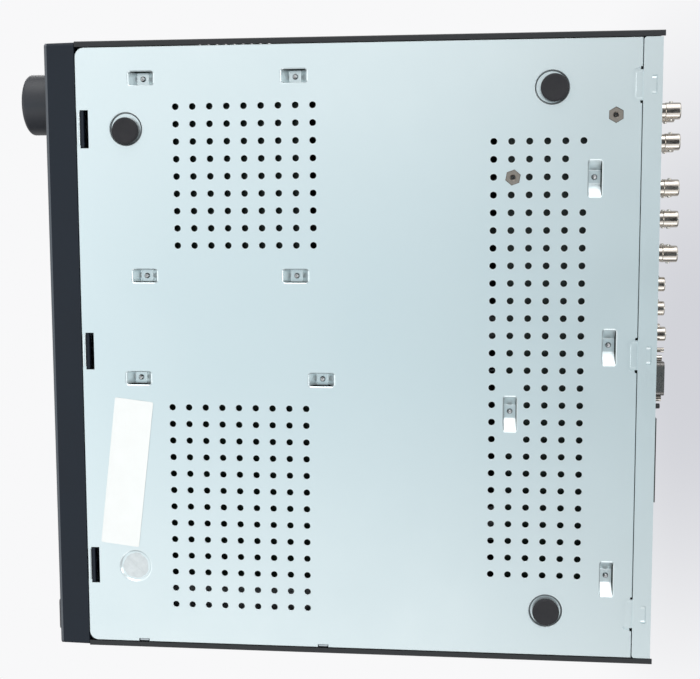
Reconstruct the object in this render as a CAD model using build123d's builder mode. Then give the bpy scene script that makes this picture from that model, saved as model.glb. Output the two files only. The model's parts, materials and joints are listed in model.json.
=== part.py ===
from build123d import *
from math import hypot
import os

# Four-channel digital video recorder, seen lying on its feet.
# X runs across the width, Y from the controls (negative) to the sockets,
# Z upwards from the surface it stands on. Lengths are in millimetres.

# Driving sizes of the case
case_width = 361.2
body_depth = 352.8
case_height = 64.0
foot_stand = 3.0
sheet = 1.0
knob_reach = 17.5
bnc_reach = 13.2

# Front of plastic, with a thin metallic trim plate on it
trim_thick = 1.6
bezel_depth = 16.2
bezel_wall = 2.2
bezel_face = 2.5
bezel_flare = 0.3
bezel_step = 0.4
bezel_corner = 2.0
trim_break = 0.4
latch_hook = 1.6
bezel_clear = 0.4

# Bottom plate and rear panel
hem_width = 3.2
hem_gap = 0.4
plate_corner = 5.4
plate_edge_break = 0.3
side_wall_height = 20.0
side_wall_setback = 8.0
front_wall_height = 52.0
front_wall_half = 168.0
rear_flange_depth = 10.5
seam_gap = 0.4
rear_corner = 1.6
panel_top_gap = 1.0
panel_lip_depth = 9.0

# Vent holes in the bottom plate
vent_pitch = 10.0
vent_bore = 4.0
psu_vent_columns = 9
psu_vent_rows = 9
psu_vent_x = 102.5
psu_vent_y = -56.8
disc_vent_columns = 13
disc_vent_rows = 9
disc_vent_x = -93.1
disc_vent_y = -61.8
board_vent_columns = 26
board_vent_rows = 6
board_vent_x = -4.3
board_vent_y = 111.1
bridge_clear = 5.0
hex_clear = 3.0

# Pressed bridges that carry the boards, all lifted by the same step
bridge_lift = 6.0
bridge_kerf = 0.3
bridge_root = 2.0
bridge_corner = 1.8
bridge_break = 0.6
bend_outside = 1.5
bend_inside = 0.6
long_bridge_width = 7.4
long_bridge_flat = 7.6
long_bridge_steep = 5.8
long_bridge_shallow = 7.6
short_bridge_width = 7.6
short_bridge_flat = 6.8
short_bridge_ramp = 4.2
psu_bridge_x = (44.7, 159.0)
psu_bridge_y = (-117.1, -27.5)
disc_bridge_x = -16.0
disc_bridge_y = (-122.0, -12.7)
board_bridges = ((100.6, 142.7), (5.2, 152.1), (-33.8, 96.6), (-129.9, 152.9))
hex_places = ((134.7, 153.6), (100.5, 97.0))
hex_across = 7.8
hex_head = 1.2
hex_shank = 5.5
hex_bore = 2.7
hex_break = 0.3
hex_sink = 0.5
hex_turns = (0.0, 10.0)

# Feet
foot_diameter = 15.6
foot_recess = 1.0
foot_recess_floor = 17.4
foot_recess_mouth = 19.4
foot_recess_round = 1.0
rear_foot_x = 150.4
rear_foot_y = 118.2
front_foot_x = 130.2
front_foot_y = -126.4
foot_places = (
    (rear_foot_x, rear_foot_y),
    (-rear_foot_x, rear_foot_y),
    (front_foot_x, front_foot_y),
    (-front_foot_x, front_foot_y),
)
empty_foot = 3
foot_offsets = ((-0.4, 1.3), (-0.2, 0.1), (-1.3, 0.0))
foot_neck = 14.6
foot_round = 0.8

# Snap tongues of the bezel in the plate's front edge
latch_places = (-front_foot_x, 0.0, front_foot_x)
latch_length = 22.0
latch_width = 5.0
latch_setback = 2.3
latch_clear = 0.4
latch_tongue_thick = 2.0
latch_lip = 0.8

# Tongues at the rear seam
tongue_places = (-151.0, 0.0, 151.0)
tongue_length = 17.0
tongue_reach = 8.6
pocket_length = 18.6
pocket_depth = 5.6
pocket_slope = 64.0
pocket_corner = 3.2
pocket_pad = 0.8
corner_notch_long = 1.6
corner_notch_deep = 1.1
window_length = 10.4
window_width = 2.8
window_inset = 3.0
flap_sink = 0.25
flap_gap = 0.45
flap_end_sink = 0.7
flap_end = 1.2

# Screws
screw_shank = 2.9
screw_hole = 3.2
screw_head = 5.6
screw_head_high = 2.0
screw_tip = 2.4

# Circuit boards
board_thick = 1.6
fit = 0.2
touch = 0.05

notch_length = 6.4
notch_depth = 1.9
notch_height = 3.2
window_clear = 0.6

# Jog dial inside a sprung shuttle ring, carried on the encoder's collar
knob_x = 146.7
knob_rise = 24.5
knob_radius = 18.0
knob_round = 2.2
knob_wall = 2.6
knob_gap = 0.4
dial_radius = 12.8
dial_sink = 0.5
dial_thick = 2.6
dial_dimple = 4.2
dial_dimple_x = 6.2
dial_dimple_deep = 1.2
dial_gap = 0.3
hub_radius = 8.0
web_thick = 2.4
collar_radius = 4.5
collar_bore = 3.0
running_fit = 0.05
encoder_size = 18.0
encoder_high = 6.5
encoder_round = 0.8

# Push buttons: a cap through the trim and bezel, and a flange behind it
power_x = -164.0
power_rise = 13.0
power_long = 19.0
power_tall = 13.0
power_reach = 3.2
key_long = 14.0
key_tall = 6.5
key_reach = 1.2
key_x = (2.0, 22.0, 42.0, 62.0)
key_rises = (17.0, 30.0)
key_gap = 0.3
key_corner = 1.5
key_flange = 1.2
key_flange_thick = 1.0
key_travel = 0.8
power_travel = 1.5
key_dish = 0.4
dish_radius = 14.0
stem_radius = 1.8
button_round = 1.0
switch_size = 6.0
switch_high = 3.4
switch_plunger = 1.7
switch_plunger_high = 0.8
plunger_gap = 0.05

# Status window above the keys
lens_x0 = -8.0
lens_x1 = 74.0
lens_rise0 = 41.0
lens_rise1 = 54.0
lens_gap = 0.2

# Front circuit board
front_board_set = 12.0
front_board_half = 171.0
front_board_low = 6.0
front_board_high = 58.0
front_board_step_x = -14.0
front_board_step = 36.0
post_places = (
    (-165.0, 31.0),
    (-90.0, 14.0),
    (-22.0, 29.0),
    (84.0, 14.0),
    (84.0, 52.0),
    (168.0, 14.0),
    (168.0, 52.0),
)
post_radius = 3.0
post_bore = 1.3
post_screw_bite = 4.0

# USB sockets in the front
usb_x = (-60.0, -42.0)
usb_rise = 15.0
usb_long = 13.1
usb_tall = 5.8
usb_deep = 11.0
usb_wall = 0.4
usb_back = 1.5
usb_tongue = 1.8
usb_tongue_drop = 0.5
usb_tongue_side = 0.8

# Slim disc drive above the hard disc
tray_x0 = -148.0
tray_x1 = -20.0
tray_front_thick = 6.0
tray_gap = 0.3
drive_rise = 37.3
drive_wall = 0.8
drive_depth = 126.0
drive_front_inset = 1.2
drive_tall = 12.6
drive_rib_in = 12.0
drive_rib_high = 0.5
runner_long = 118.0
runner_high = 2.0
tray_web = 1.5
tray_rim = 4.0
sledge_end = 14.0
sledge_wide = 16.0
sledge_deep = 2.5
tray_deep = 124.5
tray_thick = 8.4
tray_side_gap = 1.0
tray_floor_gap = 0.6
tray_run_gap = 0.3
disc_well = 60.6
disc_well_deep = 1.8
disc_well_from_front = 62.2
spindle_pocket = 12.0
spindle_radius = 11.0
spindle_seat = 2.4
spindle_thick = 3.6
spindle_nose = 7.3
spindle_nose_high = 1.8
spindle_pin = 1.5
eject_from_end = 16.0
eject_long = 9.0
eject_tall = 3.4
eject_reach = 0.5
eject_travel = 0.8
eject_deep = 2.8
eject_gap = 0.25
eject_round = 0.4

# Hard disc and the steel bracket over it
disc_long = 147.0
disc_wide = 101.6
disc_tall = 26.1
disc_x1 = -24.0
disc_board_thick = 1.6
bracket_sheet = 1.2
bracket_gap = 0.3
bracket_foot = 8.0
bracket_wall_short = 2.0
driver_half = 3.1
driver_high = 12.0
hook_leg = 8.0
hook_half = 2.6
hook_tip = 0.6
disc_lid = 3.0
disc_lid_in = 3.0
disc_wall = 4.5
disc_round = 3.0
disc_screw_x = (-142.5, -41.0)
disc_screw_rise = 6.4
disc_screw_deep = 4.0
disc_board_in = 3.0
disc_board_from = 30.0
disc_plug_out = 2.0
disc_plug_half = 25.0
disc_plug_high = 8.0

# Main board with the rear sockets
main_x0 = -137.0
main_x1 = 144.0
main_y0 = 88.0
main_inset = 2.5
shield_x0 = 45.0
shield_x1 = 130.0
shield_in = 14.0
shield_gap = 2.0
shield_high = 16.0
shield_sheet = 1.2
shield_columns = 8
shield_rows = 3
chip_high = 1.6
chip_list = (
    (-70.0, 122.0, 28.0, 28.0, chip_high),
    (-105.0, 125.0, 12.0, 20.0, chip_high),
    (-118.0, 108.0, 10.0, 10.0, chip_high),
    (-10.0, 122.0, 20.0, 14.0, chip_high),
    (18.0, 122.0, 20.0, 14.0, chip_high),
    (62.0, 124.0, 24.0, 24.0, chip_high),
    (86.0, 124.0, 10.0, 16.0, chip_high),
    (118.0, 122.0, 16.0, 16.0, chip_high),
    (-10.0, 93.5, 12.0, 7.0, 9.0),
    (-102.0, 93.5, 26.0, 7.0, 7.0),
)
cap_list = (
    (-30.0, 142.0),
    (-18.0, 142.0),
    (24.0, 146.0),
    (36.0, 146.0),
    (84.0, 146.0),
    (122.0, 94.0),
    (134.0, 94.0),
)
cap_radius = 4.0
cap_high = 11.0
header_in = 2.0
header_side = 2.0
heatsink_x = -70.0
heatsink_y = 122.0
heatsink_base = 3.0
heatsink_size = 40.0
heatsink_fin = 1.2
heatsink_fins = 9
heatsink_high = 14.0

# Video, sound and data sockets
bnc_x = (138.1, 120.66, 94.64, 76.78, 56.81)
bnc_rise = 21.5
row_step = 21.0
bnc_radius = 4.8
bnc_bore = 4.05
bnc_lug = 1.0
bnc_lug_high = 0.75
bnc_lug_from_tip = 5.2
bnc_housing_wide = 14.4
bnc_housing_deep = 19.0
bnc_seat = 6.0
bnc_nut = 6.0
bnc_nut_thick = 1.6
bnc_insulator_sink = 1.6
bnc_insulator = 2.4
bnc_pin = 0.7
rca_x = (39.26, 25.24, 10.42)
rca_reaches = (6.6, 6.6, 7.6)
rca_radius = 4.15
rca_bore = 3.3
rca_housing_wide = 10.4
rca_housing_deep = 11.0
rca_hole = 1.6
rca_sink = 0.6
video_x = -14.9
video_rise = 15.5
video_wide = 19.4
video_tall = 9.6
video_reach = 6.2
video_deep = 12.0
video_wall = 0.5
video_round = 2.4
video_insert_in = 1.6
video_insert_sink = 1.0
video_pin_pitch = 2.3
video_row_pitch = 2.0
video_pins = 5
video_pin_hole = 0.5
video_pin_deep = 3.0
jack_spread = 11.7
jack_radius = 1.7
jack_bore = 1.0
jack_reach = 5.0
ground_x = 0.94
ground_radius = 1.4
ground_reach = 7.0
reset_x = -30.8
reset_rise = 13.5
reset_radius = 1.5
reset_reach = 4.2
reset_travel = 1.0
reset_wall = 0.8
reset_body = 9.0
terminal_x = -62.0
terminal_poles = 10
terminal_pitch = 4.92
terminal_tall = 10.2
terminal_reach = 2.0
terminal_deep = 11.0
terminal_mouth = 3.2
terminal_mouth_deep = 4.0
terminal_mouth_rise = 4.2
terminal_screw = 1.6
terminal_screw_deep = 1.0
network_x = -104.0
network_wide = 16.2
network_tall = 13.0
network_deep = 18.0
network_wall = 1.0
network_mouth = 11.8
network_mouth_tall = 7.5
network_mouth_deep = 12.0
network_key = 6.4
network_key_tall = 2.5
panel_clear = 0.3

# Power inlet and fan in the rear panel
inlet_x = -151.0
inlet_rise = 34.0
inlet_wide = 27.0
inlet_tall = 19.5
inlet_flange_wide = 32.0
inlet_flange_tall = 24.5
inlet_flange_thick = 2.0
inlet_deep = 22.0
inlet_cup_wide = 24.0
inlet_cup_tall = 16.2
inlet_cup_deep = 16.0
inlet_cup_cut = 4.0
inlet_pin_wide = 2.0
inlet_pin_thick = 4.0
inlet_pin_long = 10.5
inlet_pin_spread = 7.0
inlet_pin_rise = 2.0
inlet_pin_spots = (
    (-inlet_pin_spread, -inlet_pin_rise),
    (inlet_pin_spread, -inlet_pin_rise),
    (0.0, inlet_pin_rise),
)
fan_x = -104.0
fan_rise = 42.2
fan_size = 40.0
fan_thick = 10.0
fan_bore = 19.0
fan_hub = 8.6
fan_blades = 7
fan_blade_gap = 0.6
fan_hole_spread = 16.0
fan_hole = 1.9
fan_pin = 2.0
fan_pin_short = 2.0
fan_corner = 2.5
fan_screw = 1.6
fan_strut = 1.5
fan_strut_wide = 3.0
fan_blade = 1.2
fan_blade_chord = 9.0
fan_pitch = 40.0

# Power supply board
psu_margin = 7.0
transformer_x = 135.0
transformer_y = -53.0
transformer_size = (42.0, 38.0, 36.0)
winding_long = 24.0
winding_bulge = 3.0
filter_x = 88.0
filter_y = -62.0
filter_size = 20.0
power_cans = (
    (140.0, -102.0, 11.0, 35.0),
    (52.0, -52.0, 5.0, 20.0),
    (52.0, -66.0, 5.0, 20.0),
    (88.0, -40.0, 5.0, 20.0),
    (101.0, -40.0, 4.0, 16.0),
    (88.0, -88.0, 4.0, 16.0),
)
power_sink_x = (58.0, 118.0)
power_sink_y0 = -110.0
power_sink_y1 = -78.0
power_sink_thick = 2.0
power_sink_wide = 8.0
power_sink_high = 28.0
power_sink_foot = 6.0
power_sink_fins = 6
plug_half = 5.0
plug_deep = 7.0
plug_in = 1.0
lead_plug_z = 18.0

# Cover
cover_corner = 2.0
cover_rear_over = 1.1
cover_lip_high = 8.0
cover_gap = 0.3
hem_round = 0.7
side_slots = 9
side_slot_pitch = 5.17
side_slot_width = 2.4
side_slot_low = 8.0
side_slot_high = 38.0
side_slot_y = -65.6
cover_screw_x = (-150.0, 0.0, 150.0)
lip_notch_half = 21.0

grille_hole = 3.6
grille_pitch = 5.6
grille_rings = 3
panel_slots = 8
panel_slot_pitch = 6.0
panel_slot_width = 2.4
panel_slot_low = 28.0
panel_slot_high = 50.0

# Label and cables
label_long = 88.9
label_wide = 23.4
label_thick = 0.15
label_x = -73.0
label_y = -130.3
label_turn = 6.9
label_round = 1.0
ribbon_x0 = 6.0
ribbon_x1 = 26.0
ribbon_thick = 1.0
ribbon_window_low = 15.0
ribbon_window_high = 27.0
ribbon_lie = 2.0
cable_bend = 5.0
header_deep = 7.0
header_high = 7.0
disc_cable_x = -10.0
disc_cable_y = -58.0
disc_cable_thick = 1.2
disc_cable_low = 14.0
disc_cable_high = 20.0
drive_cable_x0 = -112.0
drive_cable_x1 = -92.0
cable_turn = 11.0
header_drop = 3.5
lead_radius = 2.8
lead_bends = (5.5, 5.5, 12.0, 12.0, 3.5, 3.5)
lead_y = 62.0
lead_rise = 7.5
lead_x = 53.0
harness_x0 = 60.0
harness_x1 = 76.0
harness_thick = 1.6

# Derived planes of the case
front_y = knob_reach - (knob_reach + body_depth + bnc_reach) / 2
rear_y = front_y + body_depth
bezel_front_y = front_y + trim_thick
bezel_rear_y = bezel_front_y + bezel_depth
plate_front_y = bezel_rear_y + bezel_clear
flange_front_y = rear_y - rear_flange_depth
plate_rear_y = flange_front_y - seam_gap
panel_in_y = rear_y - sheet
under_z = foot_stand
floor_z = under_z + sheet
top_z = under_z + case_height
roof_z = top_z - sheet
side_x = case_width / 2
plate_x = side_x - hem_width - hem_gap
plate_mid_y = (plate_front_y + plate_rear_y) / 2
plate_depth = plate_rear_y - plate_front_y
bridge_top_z = floor_z + bridge_lift
board_top_z = bridge_top_z + board_thick
cover_y1 = rear_y + cover_rear_over
cover_screw_z = roof_z - cover_lip_high / 2
drive_z0 = under_z + drive_rise
drive_z1 = drive_z0 + drive_tall
knob_z = under_z + knob_rise
fan_z = under_z + fan_rise
reset_z = under_z + reset_rise
knob_front_y = front_y - knob_reach
usb_z = under_z + usb_rise
face_in_y = bezel_front_y + bezel_face
front_board_y = front_y + front_board_set
front_board_back = front_board_y + board_thick
plunger_y = front_board_y - switch_high - switch_plunger_high
main_y1 = panel_in_y - main_inset
tray_y0 = front_y + tray_front_thick
case_y0 = tray_y0 + drive_front_inset
case_y1 = case_y0 + drive_depth

os.makedirs("parts", exist_ok=True)


def save(piece, name):
    """Labels a finished piece and writes it under its own name."""
    piece.part.label = name
    export_step(piece.part, f"parts/{name}.step")


def block(x0, x1, y0, y1, z0, z1, mode=Mode.ADD):
    """Box between two corners, added to the part that is being built."""
    with Locations(((x0 + x1) / 2, (y0 + y1) / 2, (z0 + z1) / 2)):
        Box(x1 - x0, y1 - y0, z1 - z0, mode=mode)


def rod_y(x, z, y0, y1, radius, mode=Mode.ADD):
    """Cylinder along Y between two planes."""
    with Locations(Location((x, (y0 + y1) / 2, z), (90, 0, 0))):
        Cylinder(radius, y1 - y0, mode=mode)


def rod_z(x, y, z0, z1, radius, mode=Mode.ADD):
    """Upright cylinder between two levels."""
    with Locations((x, y, (z0 + z1) / 2)):
        Cylinder(radius, z1 - z0, mode=mode)


def prism(points, plane, amount, mode=Mode.ADD):
    """Straight-sided outline on a plane, pushed out by an amount."""
    with BuildSketch(plane) as outline:
        with BuildLine():
            Polyline(*points, close=True)
        make_face()
    extrude(outline.sketch, amount=amount, mode=mode)


def pressed_strip(low, low_top, high_top, high, plane, width):
    """Strip lifted out of the plate, with rounded bends at both ramps."""
    high_z = under_z + bridge_lift
    with BuildSketch(plane) as outline:
        with BuildLine():
            under = FilletPolyline(
                (low - bridge_root, under_z),
                (low, under_z),
                (low_top, high_z),
                (high_top, high_z),
                (high, under_z),
                (high + bridge_root, under_z),
                radius=(bend_outside, bend_inside, bend_inside, bend_outside),
            )
            upper = FilletPolyline(
                (low - bridge_root, floor_z),
                (low, floor_z),
                (low_top, high_z + sheet),
                (high_top, high_z + sheet),
                (high, floor_z),
                (high + bridge_root, floor_z),
                radius=(bend_inside, bend_outside, bend_outside, bend_inside),
            )
            Line(under @ 0, upper @ 0)
            Line(under @ 1, upper @ 1)
        make_face()
    extrude(outline.sketch, amount=width)


def slot_for_strip(mid_x, mid_y, long, wide):
    """Slot with round corners and a broken lower edge, cut in the plate."""
    with BuildSketch(Plane.XY.offset(under_z)) as slot:
        with Locations((mid_x, mid_y)):
            RectangleRounded(long, wide, bridge_corner)
    extrude(slot.sketch, amount=sheet, mode=Mode.SUBTRACT)
    with BuildSketch(Plane.XY.offset(under_z)) as rim:
        with Locations((mid_x, mid_y)):
            RectangleRounded(long + 2 * bridge_break, wide + 2 * bridge_break, bridge_corner + bridge_break)
    extrude(rim.sketch, amount=bridge_break, taper=45, mode=Mode.SUBTRACT)


def long_bridge(x, y):
    """Strip along X lifted off the plate, steep at +X and shallow at -X."""
    high_top = x + long_bridge_flat / 2
    low_top = x - long_bridge_flat / 2
    high = high_top + long_bridge_steep
    low = low_top - long_bridge_shallow
    width = long_bridge_width - 2 * bridge_kerf
    slot_for_strip((low + high) / 2, y, high - low, long_bridge_width)
    pressed_strip(low, low_top, high_top, high, Plane.XZ.offset(-y - width / 2), width)
    rod_z(x, y, under_z, bridge_top_z + touch, screw_hole / 2, Mode.SUBTRACT)


def short_bridge(x, y):
    """Strip along Y lifted off the plate, with two equal ramps."""
    half = short_bridge_flat / 2
    reach = half + short_bridge_ramp
    width = short_bridge_width - 2 * bridge_kerf
    slot_for_strip(x, y, short_bridge_width, 2 * reach)
    pressed_strip(y - reach, y - half, y + half, y + reach, Plane.YZ.offset(x - width / 2), width)
    rod_z(x, y, under_z, bridge_top_z + touch, screw_hole / 2, Mode.SUBTRACT)


def vent_grid(mid_x, mid_y, columns, rows):
    """Centres of a block of vent holes, as (x, y) pairs."""
    for i in range(columns):
        for j in range(rows):
            x = mid_x + (i - (columns - 1) / 2) * vent_pitch
            y = mid_y + (j - (rows - 1) / 2) * vent_pitch
            yield x, y


def is_blocked(x, y):
    """A vent is left out where a bridge or a clinched standoff sits."""
    for bridge_x, bridge_y in board_bridges:
        near = bridge_x - long_bridge_flat / 2 - long_bridge_shallow - bridge_clear
        far = bridge_x + long_bridge_flat / 2 + long_bridge_steep + bridge_clear
        if near < x < far and abs(y - bridge_y) < long_bridge_width / 2 + bridge_clear:
            return True
    for hex_x, hex_y in hex_places:
        if hypot(x - hex_x, y - hex_y) < hex_across / 2 + hex_clear:
            return True
    return False


def window_y(x0, x1, z0, z1, y0, y1, clear, corner):
    """Rectangular hole with rounded corners, cut along Y."""
    with BuildSketch(Plane.XZ.offset(-y1)) as outline:
        with Locations(((x0 + x1) / 2, (z0 + z1) / 2)):
            RectangleRounded(x1 - x0 + 2 * clear, z1 - z0 + 2 * clear, corner + clear)
    extrude(outline.sketch, amount=y1 - y0, mode=Mode.SUBTRACT)


def cap_y(x, z, long, tall, y0, y1, corner):
    """Rounded rectangular bar along Y, added to the part that is being built."""
    with BuildSketch(Plane.XZ.offset(-y1)) as outline:
        with Locations((x, z)):
            RectangleRounded(long, tall, corner)
    extrude(outline.sketch, amount=y1 - y0)


# Bottom plate: rounded front corners, vents, feet recesses, bridges and latches
with BuildPart() as bottom_chassis:
    with BuildSketch(Plane.XY.offset(under_z)) as plate_outline:
        with Locations((0, plate_mid_y)):
            Rectangle(2 * plate_x, plate_depth)
        front_corners = plate_outline.vertices().group_by(Axis.Y)[0]
        fillet(front_corners, plate_corner)
    extrude(amount=sheet)
    chamfer(bottom_chassis.faces().sort_by(Axis.Z)[0].outer_wire().edges(), plate_edge_break)
    wall_front_y = plate_front_y + side_wall_setback
    wall_rear_y = plate_rear_y - side_wall_setback
    for side in (-1, 1):
        wall_out, wall_in = side * plate_x, side * (plate_x - sheet)
        wall_x0, wall_x1 = min(wall_out, wall_in), max(wall_out, wall_in)
        block(wall_x0, wall_x1, wall_front_y, wall_rear_y, floor_z, floor_z + side_wall_height)
    block(-front_wall_half, front_wall_half, plate_front_y, plate_front_y + sheet, floor_z,
          floor_z + front_wall_height)

    # Foot recesses pressed inwards, with sloping walls
    for x, y in foot_places:
        with Locations((x, y, under_z + foot_recess)):
            Cylinder(foot_recess_mouth / 2 + sheet, sheet, align=(Align.CENTER, Align.CENTER, Align.MIN))
        with Locations((x, y, under_z)):
            Cone(foot_recess_mouth / 2, foot_recess_floor / 2, foot_recess,
                 align=(Align.CENTER, Align.CENTER, Align.MIN), mode=Mode.SUBTRACT)
    round_edges = bottom_chassis.edges().filter_by(GeomType.CIRCLE).filter_by_position(
        Axis.Z, under_z - touch, under_z + touch)
    mouths = [edge for edge in round_edges if abs(edge.radius - foot_recess_mouth / 2) < touch]
    fillet(mouths, foot_recess_round)

    for x, y in board_bridges:
        long_bridge(x, y)
    for x in psu_bridge_x:
        for y in psu_bridge_y:
            short_bridge(x, y)
    for y in disc_bridge_y:
        short_bridge(disc_bridge_x, y)

    # Latch slots, each with its edge strip pressed out into a low bead
    latch_y0 = plate_front_y + latch_setback
    latch_y1 = latch_y0 + latch_width
    for x in latch_places:
        x0, x1 = x - latch_length / 2, x + latch_length / 2
        block(x0, x1, latch_y0, latch_y1, under_z, floor_z, Mode.SUBTRACT)
        block(x0 - latch_clear, x1 + latch_clear, plate_front_y, plate_front_y + sheet, floor_z,
              floor_z + latch_tongue_thick + 2 * latch_clear, Mode.SUBTRACT)
        bead_y0, bead_y1 = plate_front_y + plate_edge_break, latch_y0
        with BuildSketch(Plane.YZ.offset(x0 + sheet)) as bead:
            with BuildLine():
                ThreePointArc((bead_y0, under_z), ((bead_y0 + bead_y1) / 2, under_z - latch_lip),
                              (bead_y1, under_z))
                Polyline((bead_y0, under_z), (bead_y0, under_z + touch), (bead_y1, under_z + touch),
                         (bead_y1, under_z))
            make_face()
        extrude(bead.sketch, amount=latch_length - 2 * sheet)

    # Drawn pockets, and tongues from them that pass inside the rear panel's flange
    tongue_z = floor_z + touch
    for x in tongue_places:
        half = pocket_length / 2
        block(x - half - pocket_pad, x + half + pocket_pad, plate_rear_y - pocket_depth - pocket_pad,
              plate_rear_y, floor_z, tongue_z + sheet)
        with BuildSketch(Plane.XY.offset(under_z)) as pocket:
            with Locations((x, plate_rear_y)):
                RectangleRounded(pocket_length, 2 * pocket_depth, pocket_corner)
        extrude(pocket.sketch, amount=tongue_z - under_z, taper=pocket_slope, mode=Mode.SUBTRACT)
        for side in (-1, 1):
            x0, x1 = sorted((x + side * tongue_length / 2, x + side * (tongue_length / 2 + corner_notch_long)))
            block(x0, x1, plate_rear_y - corner_notch_deep, plate_rear_y, under_z, tongue_z + sheet,
                  Mode.SUBTRACT)
        block(x - tongue_length / 2, x + tongue_length / 2, plate_rear_y - corner_notch_deep,
              plate_rear_y + tongue_reach, tongue_z, tongue_z + sheet)

    # Clinched standoff seats and the notches where the disc bracket hooks in
    for (x, y), turn in zip(hex_places, hex_turns):
        with BuildSketch(Plane.XY.offset(under_z)):
            with Locations((x, y)):
                RegularPolygon(hex_across / 2 + touch, 6, major_radius=False, rotation=turn)
        extrude(amount=sheet, mode=Mode.SUBTRACT)
    for y in disc_bridge_y:
        block(-plate_x - sheet, -plate_x + notch_depth, y - notch_length / 2, y + notch_length / 2,
              under_z, under_z + notch_height, Mode.SUBTRACT)

    # Windows in the front wall for the disc tray and the ribbon cable
    block(tray_x0 - window_clear, tray_x1 + window_clear, plate_front_y, plate_front_y + sheet,
          drive_z0 - window_clear, floor_z + front_wall_height, Mode.SUBTRACT)
    block(ribbon_x0 - window_clear, ribbon_x1 + window_clear, plate_front_y, plate_front_y + sheet,
          under_z + ribbon_window_low, under_z + ribbon_window_high, Mode.SUBTRACT)

    # Three blocks of round vents, cut together
    vents = list(vent_grid(psu_vent_x, psu_vent_y, psu_vent_columns, psu_vent_rows))
    vents += vent_grid(disc_vent_x, disc_vent_y, disc_vent_columns, disc_vent_rows)
    for x, y in vent_grid(board_vent_x, board_vent_y, board_vent_columns, board_vent_rows):
        if not is_blocked(x, y):
            vents.append((x, y))
    with BuildSketch(Plane.XY.offset(under_z)):
        with Locations(*vents):
            Circle(vent_bore / 2)
    extrude(amount=sheet, mode=Mode.SUBTRACT)
save(bottom_chassis, "bottom_chassis")


# Rear panel: upright sheet with a folded foot that continues the bottom plate
with BuildPart() as rear_panel:
    block(-plate_x, plate_x, panel_in_y, rear_y, under_z, roof_z - panel_top_gap)
    block(-plate_x + seam_gap, plate_x - seam_gap, panel_in_y - panel_lip_depth, rear_y,
          roof_z - panel_top_gap - sheet, roof_z - panel_top_gap)
    block(fan_x - lip_notch_half, fan_x + lip_notch_half, panel_in_y - panel_lip_depth, panel_in_y,
          roof_z - panel_top_gap - sheet, roof_z - panel_top_gap, Mode.SUBTRACT)
    with BuildSketch(Plane.XY.offset(under_z)) as flange_outline:
        with Locations((0, (flange_front_y + rear_y) / 2)):
            Rectangle(2 * plate_x, rear_flange_depth)
        fillet(flange_outline.vertices().group_by(Axis.Y)[0], rear_corner)
    extrude(amount=sheet)
    for side in (-1, 1):
        x0, x1 = sorted((side * (plate_x - sheet), side * (plate_x - 2 * sheet)))
        block(x0, x1, panel_in_y - panel_lip_depth, panel_in_y, floor_z + side_wall_height,
              roof_z - panel_top_gap)

    # Catch windows over the tongues, each with an arched flap pushed in a little
    for x in tongue_places:
        x0, x1 = x - window_length / 2, x + window_length / 2
        y1 = rear_y - window_inset
        block(x0, x1, y1 - window_width, y1, under_z, floor_z, Mode.SUBTRACT)
        x0, x1 = x0 + flap_gap, x1 - flap_gap
        flap = (
            (x0, under_z + flap_end_sink),
            (x0 + flap_end, under_z + flap_sink),
            (x1 - flap_end, under_z + flap_sink),
            (x1, under_z + flap_end_sink),
            (x1, floor_z),
            (x0, floor_z),
        )
        prism(flap, Plane.XZ.offset(-y1 + flap_gap), window_width - flap_gap)

    # Socket holes
    for x in bnc_x:
        for row in range(2):
            rod_y(x, under_z + bnc_rise + row * row_step, panel_in_y, rear_y, bnc_radius + panel_clear,
                  Mode.SUBTRACT)
    for x in rca_x:
        for row in range(2):
            rod_y(x, under_z + bnc_rise + row * row_step, panel_in_y, rear_y, rca_radius + panel_clear,
                  Mode.SUBTRACT)
    rod_y(ground_x, under_z + bnc_rise, panel_in_y, rear_y, ground_radius, Mode.SUBTRACT)
    rod_y(reset_x, under_z + reset_rise, panel_in_y, rear_y, reset_radius + panel_clear, Mode.SUBTRACT)
    for side in (-1, 1):
        rod_y(video_x + side * jack_spread, under_z + video_rise, panel_in_y, rear_y,
              jack_radius + panel_clear, Mode.SUBTRACT)
    cutouts = (
        (video_x, video_wide / 2, under_z + video_rise - video_tall / 2,
         under_z + video_rise + video_tall / 2),
        (terminal_x, terminal_poles * terminal_pitch / 2, board_top_z, board_top_z + terminal_tall),
        (network_x, network_wide / 2, board_top_z, board_top_z + network_tall),
        (inlet_x, inlet_wide / 2, under_z + inlet_rise - inlet_tall / 2,
         under_z + inlet_rise + inlet_tall / 2), )
    for x, half, z0, z1 in cutouts:
        block(x - half - panel_clear, x + half + panel_clear, panel_in_y, rear_y, z0 - panel_clear,
              z1 + panel_clear, Mode.SUBTRACT)

    # Fan grille: rings of round holes, and its four screws
    with BuildSketch(Plane.XZ.offset(-rear_y)):
        with Locations((fan_x, fan_z)):
            Circle(grille_hole / 2)
            for ring in range(1, grille_rings + 1):
                with PolarLocations(ring * grille_pitch, 6 * ring):
                    Circle(grille_hole / 2)
            with GridLocations(2 * fan_hole_spread, 2 * fan_hole_spread, 2, 2):
                Circle(fan_hole)
    extrude(amount=sheet, mode=Mode.SUBTRACT)

    # Upright vent slots over the terminal block, and the cover's screw holes
    for i in range(panel_slots):
        x = terminal_x + (i - (panel_slots - 1) / 2) * panel_slot_pitch
        block(x - panel_slot_width / 2, x + panel_slot_width / 2, panel_in_y, rear_y,
              under_z + panel_slot_low, under_z + panel_slot_high, Mode.SUBTRACT)
    for x in cover_screw_x:
        rod_y(x, cover_screw_z, panel_in_y, rear_y, screw_shank / 2 + touch, Mode.SUBTRACT)
save(rear_panel, "rear_panel")


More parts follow.
